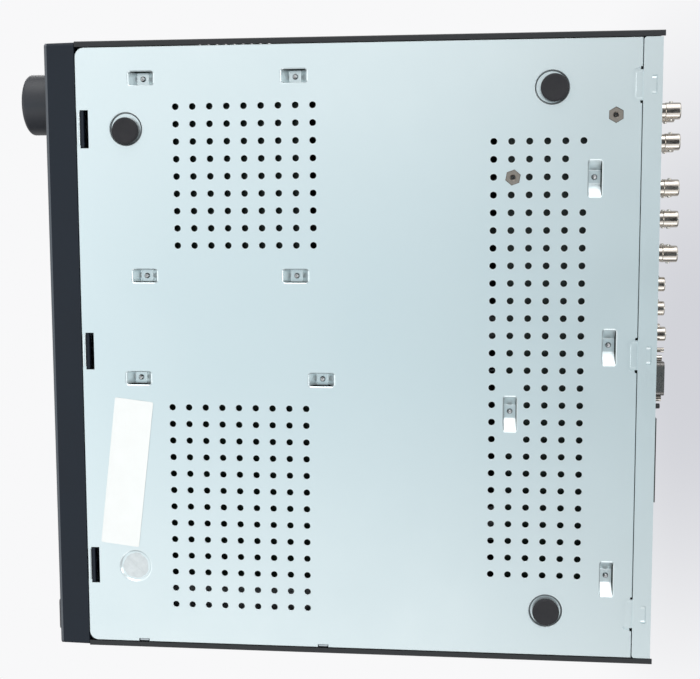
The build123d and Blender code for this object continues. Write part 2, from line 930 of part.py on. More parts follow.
# Cover: one folded sheet with a hem along each side and a lip over the rear panel
with BuildPart() as top_cover:
    with BuildSketch(Plane.XZ.offset(-bezel_rear_y - cover_gap)):
        with BuildLine():
            Polyline(
                (-side_x + hem_width, under_z),
                (-side_x, under_z),
                (-side_x, top_z),
                (side_x, top_z),
                (side_x, under_z),
                (side_x - hem_width, under_z),
                (side_x - hem_width, floor_z),
                (side_x - sheet, floor_z),
                (side_x - sheet, roof_z),
                (-side_x + sheet, roof_z),
                (-side_x + sheet, floor_z),
                (-side_x + hem_width, floor_z),
                close=True,
            )
        make_face()
    extrude(amount=-(cover_y1 - bezel_rear_y - cover_gap))
    top_edges = top_cover.edges().filter_by(Axis.Y).filter_by_position(Axis.Z, top_z - touch, top_z + touch)
    fillet(top_edges, cover_corner)
    inner_edges = top_cover.edges().filter_by(Axis.Y).filter_by_position(Axis.Z, roof_z - touch,
                                                                         roof_z + touch)
    fillet(inner_edges, cover_corner - sheet)
    hem_edges = top_cover.edges().filter_by(Axis.Y).filter_by_position(Axis.Z, under_z - touch,
                                                                       under_z + touch)
    fillet(hem_edges.group_by(Axis.X)[0] + hem_edges.group_by(Axis.X)[-1], hem_round)
    block(-plate_x, plate_x, rear_y + touch, cover_y1, roof_z - cover_lip_high, roof_z)
    block(fan_x - lip_notch_half, fan_x + lip_notch_half, rear_y, cover_y1, roof_z - cover_lip_high, roof_z,
          Mode.SUBTRACT)
    for x in cover_screw_x:
        rod_y(x, cover_screw_z, rear_y, cover_y1, screw_hole / 2, Mode.SUBTRACT)
    for side in (-1, 1):
        x0, x1 = sorted((side * (side_x - sheet), side * side_x))
        for i in range(side_slots):
            y = side_slot_y + (i - (side_slots - 1) / 2) * side_slot_pitch
            block(x0, x1, y - side_slot_width / 2, y + side_slot_width / 2, under_z + side_slot_low,
                  under_z + side_slot_high, Mode.SUBTRACT)
save(top_cover, "top_cover")


def face_openings(y0, y1):
    """Holes that the trim plate and the bezel's front wall share."""
    cap_half = power_long / 2
    window_y(power_x - cap_half, power_x + cap_half, under_z + power_rise - power_tall / 2,
             under_z + power_rise + power_tall / 2, y0, y1, key_gap, key_corner)
    for x in key_x:
        for rise in key_rises:
            window_y(x - key_long / 2, x + key_long / 2, under_z + rise - key_tall / 2,
                     under_z + rise + key_tall / 2, y0, y1, key_gap, key_corner)
    window_y(lens_x0, lens_x1, under_z + lens_rise0, under_z + lens_rise1, y0, y1, lens_gap, key_corner)
    window_y(tray_x0, tray_x1, drive_z0, drive_z1, y0, y1, tray_gap, touch)
    for x in usb_x:
        window_y(x - usb_long / 2, x + usb_long / 2, usb_z - usb_tall / 2, usb_z + usb_tall / 2,
                 y0, y1, key_gap, touch)
    rod_y(knob_x, knob_z, y0, y1, collar_radius + knob_gap, Mode.SUBTRACT)


# Front moulding: flares a little towards the cover, open at the back
with BuildPart() as front_bezel:
    bezel_front_half = side_x - bezel_step - bezel_flare
    bezel_rear_half = side_x - bezel_step
    outline = (
        (-bezel_front_half, bezel_front_y),
        (bezel_front_half, bezel_front_y),
        (bezel_rear_half, bezel_rear_y),
        (-bezel_rear_half, bezel_rear_y),
    )
    prism(outline, Plane.XY.offset(under_z), case_height)
    long_edges = front_bezel.edges().filter_by(Axis.X, reverse=True).filter_by(Axis.Z, reverse=True)
    fillet(long_edges, bezel_corner)
    inner_half = bezel_front_half - bezel_wall
    block(-inner_half, inner_half, face_in_y, bezel_rear_y, under_z + bezel_wall, top_z - bezel_wall,
          Mode.SUBTRACT)
    face_openings(bezel_front_y, face_in_y)
    for x, rise in post_places:
        rod_y(x, under_z + rise, face_in_y - touch, front_board_y, post_radius)
        rod_y(x, under_z + rise, front_board_y - post_screw_bite - sheet, front_board_y, post_bore,
              Mode.SUBTRACT)
    # Snap tongues that pass over the plate's edge and drop into its latch slots
    for x in latch_places:
        x0 = x - latch_length / 2 + latch_clear
        x1 = x + latch_length / 2 - latch_clear
        tip_y = plate_front_y + latch_setback + latch_clear + latch_hook
        tongue_z = floor_z + latch_clear
        block(x0, x1, bezel_rear_y - bezel_wall, tip_y, tongue_z, tongue_z + latch_tongue_thick)
        block(x0, x1, tip_y - latch_hook, tip_y, under_z + bridge_kerf, tongue_z)
save(front_bezel, "front_bezel")


# Thin metallic trim plate over the whole front
with BuildPart() as front_fascia:
    cap_y(0, under_z + case_height / 2, 2 * bezel_front_half, case_height, front_y, bezel_front_y,
          bezel_corner)
    face_openings(front_y, bezel_front_y)
    chamfer(front_fascia.faces().sort_by(Axis.Y)[0].outer_wire().edges(), trim_break)
save(front_fascia, "front_fascia")


# Smoked status window, flush with the trim, held by a rim behind the moulding
with BuildPart() as status_lens:
    lens_x = (lens_x0 + lens_x1) / 2
    lens_z = under_z + (lens_rise0 + lens_rise1) / 2
    lens_long = lens_x1 - lens_x0
    lens_tall = lens_rise1 - lens_rise0
    cap_y(lens_x, lens_z, lens_long, lens_tall, front_y + bridge_kerf, face_in_y + touch, key_corner)
    cap_y(lens_x, lens_z, lens_long + 2 * key_flange, lens_tall + 2 * key_flange,
          face_in_y + touch, face_in_y + touch + key_flange_thick, key_corner)
save(status_lens, "status_lens")


# Push buttons; at full travel the stem stops just short of the switch
def push_button(x, rise, long, tall, reach, travel, dish):
    """Cap, flange and stem of one button, added to the part being built."""
    z = under_z + rise
    stem_end = plunger_y - travel - plunger_gap
    flange_y = face_in_y + touch
    cap_y(x, z, long, tall, front_y - reach, flange_y, key_corner)
    if dish:
        with Locations((x, front_y - reach - dish_radius + dish, z)):
            Sphere(dish_radius, mode=Mode.SUBTRACT)
    cap_y(x, z, long + 2 * key_flange, tall + 2 * key_flange, flange_y, flange_y + key_flange_thick,
          key_corner)
    rod_y(x, z, flange_y, stem_end, stem_radius)


with BuildPart() as power_button:
    push_button(power_x, power_rise, power_long, power_tall, power_reach, power_travel, 0)
    front_face = power_button.faces().sort_by(Axis.Y)[0]
    fillet(front_face.outer_wire().edges(), button_round)
save(power_button, "power_button")

key_names = (
    "channel_button_1",
    "channel_button_2",
    "channel_button_3",
    "channel_button_4",
    "rewind_button",
    "play_button",
    "record_button",
    "menu_button",
)
key_spots = []
for rise in reversed(key_rises):
    for x in key_x:
        key_spots.append((x, rise))
for name, spot in zip(key_names, key_spots):
    with BuildPart() as key:
        push_button(spot[0], spot[1], key_long, key_tall, key_reach, key_travel, key_dish)
    save(key, name)


# Encoder body with its hollow collar
with BuildPart() as jog_encoder:
    encoder_y = front_board_y - encoder_high
    block(knob_x - encoder_size / 2, knob_x + encoder_size / 2, encoder_y, front_board_y,
          knob_z - encoder_size / 2, knob_z + encoder_size / 2)
    recess_y = knob_front_y + dial_sink + dial_thick + dial_gap
    rod_y(knob_x, knob_z, recess_y, encoder_y, collar_radius)
    rod_y(knob_x, knob_z, recess_y, encoder_y - touch, collar_bore, Mode.SUBTRACT)
    fillet(jog_encoder.edges().filter_by(Axis.Y), encoder_round)
save(jog_encoder, "jog_encoder")


# Shuttle ring: a turned shell, hollow behind, running on the collar
with BuildPart() as shuttle_ring:
    base_y = front_y - knob_gap
    web_back_y = recess_y + web_thick
    ring_points = (
        (dial_radius + dial_gap, knob_front_y),
        (knob_radius, knob_front_y),
        (knob_radius, base_y),
        (knob_radius - knob_wall, base_y),
        (knob_radius - knob_wall, web_back_y),
        (hub_radius, web_back_y),
        (hub_radius, base_y),
        (collar_radius + running_fit, base_y),
        (collar_radius + running_fit, recess_y),
        (dial_radius + dial_gap, recess_y),
    )
    knob_plane = Plane(origin=(knob_x, 0, knob_z), x_dir=(1, 0, 0), z_dir=(0, 0, 1))
    with BuildSketch(knob_plane) as ring_half:
        with BuildLine():
            Polyline(*ring_points, close=True)
        make_face()
    revolve(ring_half.sketch, axis=Axis((knob_x, 0, knob_z), (0, 1, 0)))
    rims = shuttle_ring.edges().filter_by(GeomType.CIRCLE).group_by(Axis.Y)[0].sort_by(SortBy.LENGTH)
    fillet(rims[-1], knob_round)
    fillet(rims[0], dial_gap)
save(shuttle_ring, "shuttle_ring")


# Jog dial: a disc with a finger dimple, its stem running in the collar
with BuildPart() as jog_dial:
    dial_y = knob_front_y + dial_sink
    rod_y(knob_x, knob_z, dial_y, dial_y + dial_thick, dial_radius)
    fillet(jog_dial.edges().filter_by(GeomType.CIRCLE).sort_by(Axis.Y)[0], dial_sink)
    rod_y(knob_x, knob_z, dial_y + dial_thick, encoder_y - dial_gap - touch, collar_bore - running_fit)
    with Locations((knob_x + dial_dimple_x, dial_y - dial_dimple + dial_dimple_deep, knob_z)):
        Sphere(dial_dimple, mode=Mode.SUBTRACT)
save(jog_dial, "jog_dial")


# Board behind the controls, stepped down under the disc tray
with BuildPart() as front_board:
    step_z = under_z + front_board_step
    low_z, high_z = under_z + front_board_low, under_z + front_board_high
    block(-front_board_half, front_board_half, front_board_y, front_board_back, low_z, step_z)
    block(front_board_step_x, front_board_half, front_board_y, front_board_back, step_z, high_z)
    for x, rise in post_places:
        rod_y(x, under_z + rise, front_board_y, front_board_back, screw_hole / 2, Mode.SUBTRACT)
save(front_board, "front_board")


# One switch behind each button: a square body with a round plunger
with BuildPart() as tact_switches:
    for x, rise in [(power_x, power_rise)] + key_spots:
        z = under_z + rise
        half = switch_size / 2
        block(x - half, x + half, front_board_y - switch_high, front_board_y, z - half, z + half)
        rod_y(x, z, plunger_y, front_board_y - switch_high, switch_plunger)
save(tact_switches, "tact_switches")


# Two data sockets in the front: folded shells with a tongue inside
with BuildPart() as usb_sockets:
    for x in usb_x:
        x0, x1 = x - usb_long / 2, x + usb_long / 2
        z0, z1 = usb_z - usb_tall / 2, usb_z + usb_tall / 2
        block(x0, x1, front_board_y - usb_deep, front_board_y, z0, z1)
        block(x0 + usb_wall, x1 - usb_wall, front_board_y - usb_deep, front_board_y - usb_back,
              z0 + usb_wall, z1 - usb_wall, Mode.SUBTRACT)
        block(x0 + usb_tongue_side, x1 - usb_tongue_side, front_board_y - usb_deep + usb_back,
              front_board_y - usb_back, z1 - usb_wall - usb_tongue_drop - usb_tongue,
              z1 - usb_wall - usb_tongue_drop)
save(usb_sockets, "usb_sockets")


# Slim disc drive case: a box open at the front
with BuildPart() as disc_drive_case:
    block(tray_x0, tray_x1, case_y0, case_y1, drive_z0, drive_z1)
    block(tray_x0 + drive_wall, tray_x1 - drive_wall, case_y0, case_y1 - drive_wall, drive_z0 + drive_wall,
          drive_z1 - drive_wall, Mode.SUBTRACT)
    # Shallow pressed rib across the lid
    block(tray_x0 + drive_rib_in, tray_x1 - drive_rib_in, case_y1 - 2 * drive_rib_in,
          case_y1 - drive_rib_in, drive_z1, drive_z1 + drive_rib_high)
save(disc_drive_case, "disc_drive_case")


# Disc tray with its round well and a runner along each side
tray_x = (tray_x0 + tray_x1) / 2
tray_z0 = drive_z0 + drive_wall + tray_floor_gap
tray_z1 = tray_z0 + tray_thick
tray_half = (tray_x1 - tray_x0) / 2 - drive_wall - tray_side_gap
tray_y1 = tray_y0 + tray_deep
disc_y = tray_y0 + disc_well_from_front
with BuildPart() as disc_tray:
    block(tray_x - tray_half, tray_x + tray_half, tray_y0, tray_y1, tray_z0, tray_z1)
    runner_half = tray_half + tray_side_gap - tray_run_gap
    runner_z = (tray_z0 + tray_z1) / 2
    block(tray_x - runner_half, tray_x + runner_half, tray_y1 - runner_long, tray_y1,
          runner_z - runner_high / 2, runner_z + runner_high / 2)
    rod_z(tray_x, disc_y, tray_z1 - disc_well_deep, tray_z1 + touch, disc_well, Mode.SUBTRACT)
    seat_z = tray_z1 - disc_well_deep - spindle_seat
    rod_z(tray_x, disc_y, seat_z, tray_z1, spindle_pocket, Mode.SUBTRACT)
    rod_z(tray_x, disc_y, seat_z, seat_z + spindle_pin, spindle_pin)
    # Underside relieved so that only a rim and a thin floor remain
    block(tray_x - tray_half + tray_rim, tray_x + tray_half - tray_rim, tray_y0 + tray_rim,
          tray_y1 - tray_rim, tray_z0, seat_z - tray_web, Mode.SUBTRACT)
    # Slot in which the laser sledge travels
    block(tray_x + spindle_pocket + tray_web, tray_x + disc_well - sledge_end, disc_y - sledge_wide / 2,
          disc_y + sledge_wide / 2, tray_z1 - disc_well_deep - sledge_deep, tray_z1, Mode.SUBTRACT)
save(disc_tray, "disc_tray")


# Tray front with a pocket for its eject button
eject_x = tray_x1 - eject_from_end
eject_z = (drive_z0 + drive_z1) / 2
with BuildPart() as tray_front:
    block(tray_x0, tray_x1, front_y, tray_y0, drive_z0, drive_z1)
    fillet(tray_front.faces().sort_by(Axis.Y)[0].edges(), trim_break)
    window_y(eject_x - eject_long / 2, eject_x + eject_long / 2, eject_z - eject_tall / 2,
             eject_z + eject_tall / 2, front_y, front_y + eject_deep + eject_travel + dial_gap, eject_gap,
             touch)
save(tray_front, "tray_front")

with BuildPart() as eject_button:
    block(eject_x - eject_long / 2, eject_x + eject_long / 2, front_y - eject_reach, front_y + eject_deep,
          eject_z - eject_tall / 2, eject_z + eject_tall / 2)
    fillet(eject_button.faces().sort_by(Axis.Y)[0].edges(), eject_round)
save(eject_button, "eject_button")


# Turned hub that holds the disc, spinning on the tray's pin
with BuildPart() as disc_hub:
    hub_z0 = seat_z + dial_gap
    rod_z(tray_x, disc_y, hub_z0, hub_z0 + spindle_thick, spindle_radius)
    fillet(disc_hub.edges().sort_by(Axis.Z)[-1], trim_break)
    rod_z(tray_x, disc_y, hub_z0 + spindle_thick, hub_z0 + spindle_thick + spindle_nose_high, spindle_nose)
    fillet(disc_hub.edges().sort_by(Axis.Z)[-1], spindle_nose_high / 2)
    rod_z(tray_x, disc_y, hub_z0, hub_z0 + spindle_pin + dial_gap, spindle_pin + running_fit, Mode.SUBTRACT)
save(disc_hub, "disc_hub")


# Hard disc: hollow cast base with a raised lid, its board underneath
disc_z1 = drive_z0 - bracket_sheet - bracket_gap
disc_z0 = disc_z1 - disc_tall
disc_x0 = disc_x1 - disc_long
disc_mid_x = (disc_x0 + disc_x1) / 2
disc_mid_y = (disc_bridge_y[0] + disc_bridge_y[1]) / 2
disc_y0 = disc_mid_y - disc_wide / 2
disc_y1 = disc_mid_y + disc_wide / 2
with BuildPart() as hard_disc:
    block(disc_x0, disc_x1, disc_y0, disc_y1, disc_z0, disc_z1 - disc_lid)
    fillet(hard_disc.edges().filter_by(Axis.Z), disc_round)
    block(disc_x0 + disc_wall, disc_x1 - disc_wall, disc_y0 + disc_wall, disc_y1 - disc_wall,
          disc_z0 + disc_wall, disc_z1 - disc_lid, Mode.SUBTRACT)
    for x in disc_screw_x:
        rod_y(x, disc_z0 + disc_screw_rise, disc_y0, disc_y0 + disc_screw_deep, screw_shank / 2,
              Mode.SUBTRACT)
        rod_y(x, disc_z0 + disc_screw_rise, disc_y1 - disc_screw_deep, disc_y1, screw_shank / 2,
              Mode.SUBTRACT)
save(hard_disc, "hard_disc")

with BuildPart() as hard_disc_lid:
    with BuildSketch(Plane.XY.offset(disc_z1 - disc_lid)):
        with Locations((disc_mid_x, disc_mid_y)):
            RectangleRounded(disc_long - 2 * disc_lid_in, disc_wide - 2 * disc_lid_in, disc_lid_in)
    extrude(amount=disc_lid)
    chamfer(hard_disc_lid.faces().sort_by(Axis.Z)[-1].outer_wire().edges(), sheet)
save(hard_disc_lid, "hard_disc_lid")

with BuildPart() as hard_disc_board:
    board_y0, board_y1 = disc_y0 + disc_board_in, disc_y1 - disc_board_in
    block(disc_x0 + disc_board_from, disc_x1, board_y0, board_y1, disc_z0 - disc_board_thick, disc_z0)
    block(disc_x1, disc_x1 + disc_plug_out, disc_mid_y - disc_plug_half, disc_mid_y + disc_plug_half,
          disc_z0 - disc_board_thick, disc_z0 + disc_plug_high)
save(hard_disc_board, "hard_disc_board")


# Steel bracket: hung over the hard disc, the disc drive screwed on top
wall_y0 = disc_y0 - bracket_gap
wall_y1 = disc_y1 + bracket_gap
bracket_z0 = drive_z0 - bracket_sheet
bracket_x0 = disc_x0 - bracket_gap
foot_x0 = disc_bridge_x - bracket_foot / 2
foot_x1 = disc_bridge_x + bracket_foot / 2
hook_z0 = floor_z + dial_gap
with BuildPart() as drive_bracket:
    block(bracket_x0, foot_x1, wall_y0 - bracket_sheet, wall_y1 + bracket_sheet, bracket_z0, drive_z0)
    for side, wall_in, y in ((-1, wall_y0, disc_bridge_y[0]), (1, wall_y1, disc_bridge_y[1])):
        y0, y1 = sorted((wall_in, wall_in + side * bracket_sheet))
        block(bracket_x0, foot_x1, y0, y1, disc_z0 + bracket_wall_short, bracket_z0)
        # Leg and foot on the plate's bridge
        block(foot_x0, foot_x1, y0, y1, bridge_top_z, bracket_z0)
        y0, y1 = sorted((wall_in, y + side * short_bridge_flat / 2))
        block(foot_x0, foot_x1, y0, y1, bridge_top_z, bridge_top_z + bracket_sheet)
        rod_z(disc_bridge_x, y, bridge_top_z, bridge_top_z + bracket_sheet, screw_hole / 2, Mode.SUBTRACT)
        # Window in the leg for the screw head and the driver
        y0, y1 = sorted((wall_in, wall_in + side * bracket_sheet))
        block(disc_bridge_x - driver_half, disc_bridge_x + driver_half, y0, y1,
              bridge_top_z + bracket_sheet, bridge_top_z + bracket_sheet + driver_high, Mode.SUBTRACT)
        # Leg and hook at the plate's edge
        y0, y1 = sorted((wall_in, wall_in + side * bracket_sheet))
        block(bracket_x0, bracket_x0 + hook_leg, y0, y1, hook_z0, bracket_z0)
        y0, y1 = sorted((wall_in, y + side * hook_half))
        block(-plate_x + sheet + dial_gap, bracket_x0 + hook_leg, y0, y1, hook_z0, hook_z0 + bracket_sheet)
        block(-plate_x + hook_tip, -plate_x + hook_tip + sheet, y - hook_half, y + hook_half,
              under_z + bridge_kerf, hook_z0 + bracket_sheet)
        for x in disc_screw_x:
            rod_y(x, disc_z0 + disc_screw_rise, wall_in - bracket_sheet - touch,
                  wall_in + bracket_sheet + touch, screw_hole / 2, Mode.SUBTRACT)
save(drive_bracket, "drive_bracket")


# Main board behind, standing on the four long bridges and the two standoffs
with BuildPart() as mainboard:
    block(main_x0, main_x1, main_y0, main_y1, bridge_top_z, board_top_z)
    for x, y in board_bridges + hex_places:
        rod_z(x, y, bridge_top_z, board_top_z, screw_hole / 2, Mode.SUBTRACT)
save(mainboard, "mainboard")

with BuildPart() as board_chips:
    for x, y, long, wide, high in chip_list:
        block(x - long / 2, x + long / 2, y - wide / 2, y + wide / 2, board_top_z, board_top_z + high)
    # Two pin headers: one for the front ribbon, one for the power lead
    block(ribbon_x0 - header_side, ribbon_x1 + header_side, main_y0 + header_in,
          main_y0 + header_in + header_deep, board_top_z, board_top_z + header_high)
    block(harness_x0, harness_x1, main_y0 + header_in, main_y0 + header_in + header_deep,
          board_top_z, board_top_z + header_high)
    # Switch body in which the reset button slides
    reset_half = reset_radius + reset_wall
    block(reset_x - reset_half, reset_x + reset_half, panel_in_y - reset_body, panel_in_y - panel_clear,
          board_top_z, reset_z + reset_half)
    rod_y(reset_x, reset_z, panel_in_y - reset_body + reset_wall, panel_in_y, reset_radius + running_fit,
          Mode.SUBTRACT)
save(board_chips, "board_chips")

with BuildPart() as board_capacitors:
    for x, y in cap_list:
        rod_z(x, y, board_top_z, board_top_z + cap_high, cap_radius)
    fillet(board_capacitors.edges().group_by(Axis.Z)[-1], trim_break)
save(board_capacitors, "board_capacitors")

with BuildPart() as board_heatsink:
    half = heatsink_size / 2
    sink_z = board_top_z + chip_high
    block(heatsink_x - half, heatsink_x + half, heatsink_y - half, heatsink_y + half, sink_z,
          sink_z + heatsink_base)
    for i in range(heatsink_fins):
        x = heatsink_x - half + i * (heatsink_size - heatsink_fin) / (heatsink_fins - 1)
        block(x, x + heatsink_fin, heatsink_y - half, heatsink_y + half, sink_z + heatsink_base,
              sink_z + heatsink_high)
save(board_heatsink, "board_heatsink")


# Video and sound sockets in two rows: plastic housings, then their metal parts
row_z = (under_z + bnc_rise, under_z + bnc_rise + row_step)
socket_spots = []
for x in bnc_x:
    for z in row_z:
        socket_spots.append((x, z))
with BuildPart() as socket_housings:
    for x in bnc_x:
        half = bnc_housing_wide / 2
        block(x - half, x + half, panel_in_y - bnc_housing_deep, panel_in_y - panel_clear, board_top_z,
              row_z[1] + half)
        for z in row_z:
            rod_y(x, z, panel_in_y - bnc_seat, panel_in_y, bnc_radius, Mode.SUBTRACT)
    for x in rca_x:
        half = rca_housing_wide / 2
        block(x - half, x + half, panel_in_y - rca_housing_deep, panel_in_y - panel_clear, board_top_z,
              row_z[1] + half)
        for z in row_z:
            rod_y(x, z, panel_in_y - bnc_seat, panel_in_y, rca_radius, Mode.SUBTRACT)
save(socket_housings, "socket_housings")

bnc_tip_y = rear_y + bnc_reach
bnc_seat_y = panel_in_y - bnc_seat
with BuildPart() as bnc_barrels:
    for x, z in socket_spots:
        rod_y(x, z, bnc_seat_y, bnc_tip_y, bnc_radius)
        rod_y(x, z, rear_y + panel_clear, rear_y + panel_clear + bnc_nut_thick, bnc_nut)
        lug_y = bnc_tip_y - bnc_lug_from_tip
        with Locations((x, lug_y, z)):
            Cylinder(bnc_lug, 2 * (bnc_radius + bnc_lug_high), rotation=(0, 90, 0))
        rod_y(x, z, bnc_seat_y, bnc_tip_y, bnc_bore, Mode.SUBTRACT)
save(bnc_barrels, "bnc_barrels")

with BuildPart() as bnc_contacts:
    for x, z in socket_spots:
        rod_y(x, z, bnc_seat_y, bnc_tip_y - bnc_insulator_sink, bnc_pin)
        rod_y(x, z, bnc_tip_y - 2 * bnc_insulator_sink, bnc_tip_y, bnc_pin / 2, Mode.SUBTRACT)
save(bnc_contacts, "bnc_contacts")


# Sound sockets beside them, also in two rows
with BuildPart() as rca_shells:
    for x, reach in zip(rca_x, rca_reaches):
        for z in row_z:
            rod_y(x, z, bnc_seat_y, rear_y + reach, rca_radius)
            rod_y(x, z, bnc_seat_y, rear_y + reach, rca_bore, Mode.SUBTRACT)
save(rca_shells, "rca_shells")

with BuildPart() as socket_insulators:
    for x, z in socket_spots:
        rod_y(x, z, bnc_seat_y, rear_y, bnc_bore)
        rod_y(x, z, rear_y, bnc_tip_y - bnc_insulator_sink, bnc_insulator)
        rod_y(x, z, bnc_seat_y, bnc_tip_y, bnc_pin, Mode.SUBTRACT)
    for x, reach in zip(rca_x, rca_reaches):
        for z in row_z:
            rod_y(x, z, bnc_seat_y, rear_y + reach - rca_sink, rca_bore)
            rod_y(x, z, rear_y - rca_sink, rear_y + reach - rca_sink, rca_hole, Mode.SUBTRACT)
save(socket_insulators, "socket_insulators")


# Screening can over the video inputs, standing on the main board
with BuildPart() as video_shield:
    shield_y0, shield_y1 = main_y0 + shield_in, panel_in_y - bnc_housing_deep - shield_gap
    shield_z1 = board_top_z + shield_high
    block(shield_x0, shield_x1, shield_y0, shield_y1, board_top_z, shield_z1)
    block(shield_x0 + shield_sheet, shield_x1 - shield_sheet, shield_y0 + shield_sheet,
          shield_y1 - shield_sheet, board_top_z, shield_z1 - shield_sheet, Mode.SUBTRACT)
    with BuildSketch(Plane.XY.offset(shield_z1)):
        with Locations(((shield_x0 + shield_x1) / 2, (shield_y0 + shield_y1) / 2)):
            with GridLocations(vent_pitch, vent_pitch, shield_columns, shield_rows):
                Circle(vent_bore / 2)
    extrude(amount=-shield_sheet, mode=Mode.SUBTRACT)
save(video_shield, "video_shield")


# Monitor socket: metal shell round a dark insert, with two jack screws
video_z = under_z + video_rise
with BuildPart() as video_socket:
    block(video_x - video_wide / 2, video_x + video_wide / 2, panel_in_y - video_deep, rear_y + video_reach,
          video_z - video_tall / 2, video_z + video_tall / 2)
    fillet(video_socket.edges().filter_by(Axis.Y), video_round)
    window_y(video_x - video_wide / 2, video_x + video_wide / 2, video_z - video_tall / 2,
             video_z + video_tall / 2, rear_y, rear_y + video_reach, -video_wall, video_round)
    block(video_x - video_wide / 2 + video_insert_in, video_x + video_wide / 2 - video_insert_in, rear_y,
          rear_y + video_reach - video_insert_sink, video_z - video_tall / 2 + video_insert_in,
          video_z + video_tall / 2 - video_insert_in)
    with Locations(Location((video_x, rear_y + video_reach, video_z), (90, 0, 0))):
        with GridLocations(video_pin_pitch, video_row_pitch, video_pins, 3):
            Cylinder(video_pin_hole, 2 * (video_insert_sink + video_pin_deep), mode=Mode.SUBTRACT)
    block(video_x - video_wide / 2, video_x + video_wide / 2, panel_in_y - video_deep,
          panel_in_y - video_deep / 3, board_top_z, video_z)
save(video_socket, "video_socket")

with BuildPart() as jack_screws:
    for side in (-1, 1):
        x = video_x + side * jack_spread
        rod_y(x, video_z, panel_in_y - jack_reach, rear_y + jack_reach, jack_radius)
        rod_y(x, video_z, rear_y, rear_y + jack_reach, jack_bore, Mode.SUBTRACT)
    rod_y(ground_x, row_z[0], panel_in_y, rear_y + ground_reach, ground_radius)
save(jack_screws, "jack_screws")


# Reset button, sliding in its switch on the main board
with BuildPart() as reset_button:
    rod_y(reset_x, reset_z, panel_in_y - reset_body + reset_wall + reset_travel + bridge_kerf,
          rear_y + reset_reach, reset_radius)
    fillet(reset_button.edges().sort_by(Axis.Y)[-1], trim_break)
save(reset_button, "reset_button")


# Terminal strip: ten square mouths in one block, with a screw over each
with BuildPart() as terminal_block:
    half = terminal_poles * terminal_pitch / 2
    block(terminal_x - half, terminal_x + half, rear_y + terminal_reach - terminal_deep,
          rear_y + terminal_reach, board_top_z, board_top_z + terminal_tall)
    with Locations((terminal_x, rear_y + terminal_reach, board_top_z + terminal_mouth_rise)):
        with GridLocations(terminal_pitch, 1, terminal_poles, 1):
            Box(terminal_mouth, 2 * terminal_mouth_deep, terminal_mouth, mode=Mode.SUBTRACT)
    with Locations((terminal_x, rear_y - terminal_deep / 3, board_top_z + terminal_tall)):
        with GridLocations(terminal_pitch, 1, terminal_poles, 1):
            Cylinder(terminal_screw, 2 * terminal_screw_deep, mode=Mode.SUBTRACT)
save(terminal_block, "terminal_block")


# Network socket: plated box with a stepped mouth
with BuildPart() as network_socket:
    net_y1 = rear_y + bridge_kerf
    half = network_wide / 2
    block(network_x - half, network_x + half, net_y1 - network_deep, net_y1, board_top_z,
          board_top_z + network_tall)
    mouth_z = board_top_z + network_wall
    block(network_x - network_mouth / 2, network_x + network_mouth / 2, net_y1 - network_mouth_deep, net_y1,
          mouth_z, mouth_z + network_mouth_tall, Mode.SUBTRACT)
    block(network_x - network_key / 2, network_x + network_key / 2, net_y1 - network_mouth_deep, net_y1,
          mouth_z, mouth_z + network_mouth_tall + network_key_tall, Mode.SUBTRACT)
save(network_socket, "network_socket")


# Power inlet: flanged cup with two cut corners and three flat pins
inlet_z = under_z + inlet_rise
with BuildPart() as power_inlet:
    block(inlet_x - inlet_wide / 2, inlet_x + inlet_wide / 2, rear_y - inlet_deep, rear_y,
          inlet_z - inlet_tall / 2, inlet_z + inlet_tall / 2)
    cap_y(inlet_x, inlet_z, inlet_flange_wide, inlet_flange_tall, rear_y + touch,
          rear_y + touch + inlet_flange_thick, key_corner)
    block(inlet_x - inlet_wide / 2, inlet_x + inlet_wide / 2, rear_y, rear_y + touch,
          inlet_z - inlet_tall / 2, inlet_z + inlet_tall / 2)
    cup_y1 = rear_y + touch + inlet_flange_thick
    cup_x0, cup_x1 = inlet_x - inlet_cup_wide / 2, inlet_x + inlet_cup_wide / 2
    cup_z0, cup_z1 = inlet_z - inlet_cup_tall / 2, inlet_z + inlet_cup_tall / 2
    cup = (
        (cup_x0, cup_z0),
        (cup_x1, cup_z0),
        (cup_x1, cup_z1 - inlet_cup_cut),
        (cup_x1 - inlet_cup_cut, cup_z1),
        (cup_x0 + inlet_cup_cut, cup_z1),
        (cup_x0, cup_z1 - inlet_cup_cut),
    )
    prism(cup, Plane.XZ.offset(-cup_y1), inlet_cup_deep, Mode.SUBTRACT)
    for x, z in inlet_pin_spots:
        block(inlet_x + x - inlet_pin_wide / 2, inlet_x + x + inlet_pin_wide / 2,
              cup_y1 - inlet_cup_deep - sheet,
              cup_y1, inlet_z + z - inlet_pin_thick / 2, inlet_z + z + inlet_pin_thick / 2, Mode.SUBTRACT)
save(power_inlet, "power_inlet")

with BuildPart() as inlet_pins:
    for x, z in inlet_pin_spots:
        block(inlet_x + x - inlet_pin_wide / 2, inlet_x + x + inlet_pin_wide / 2,
              cup_y1 - inlet_cup_deep - sheet,
              cup_y1 - inlet_cup_deep + inlet_pin_long, inlet_z + z - inlet_pin_thick / 2,
              inlet_z + z + inlet_pin_thick / 2)
save(inlet_pins, "inlet_pins")


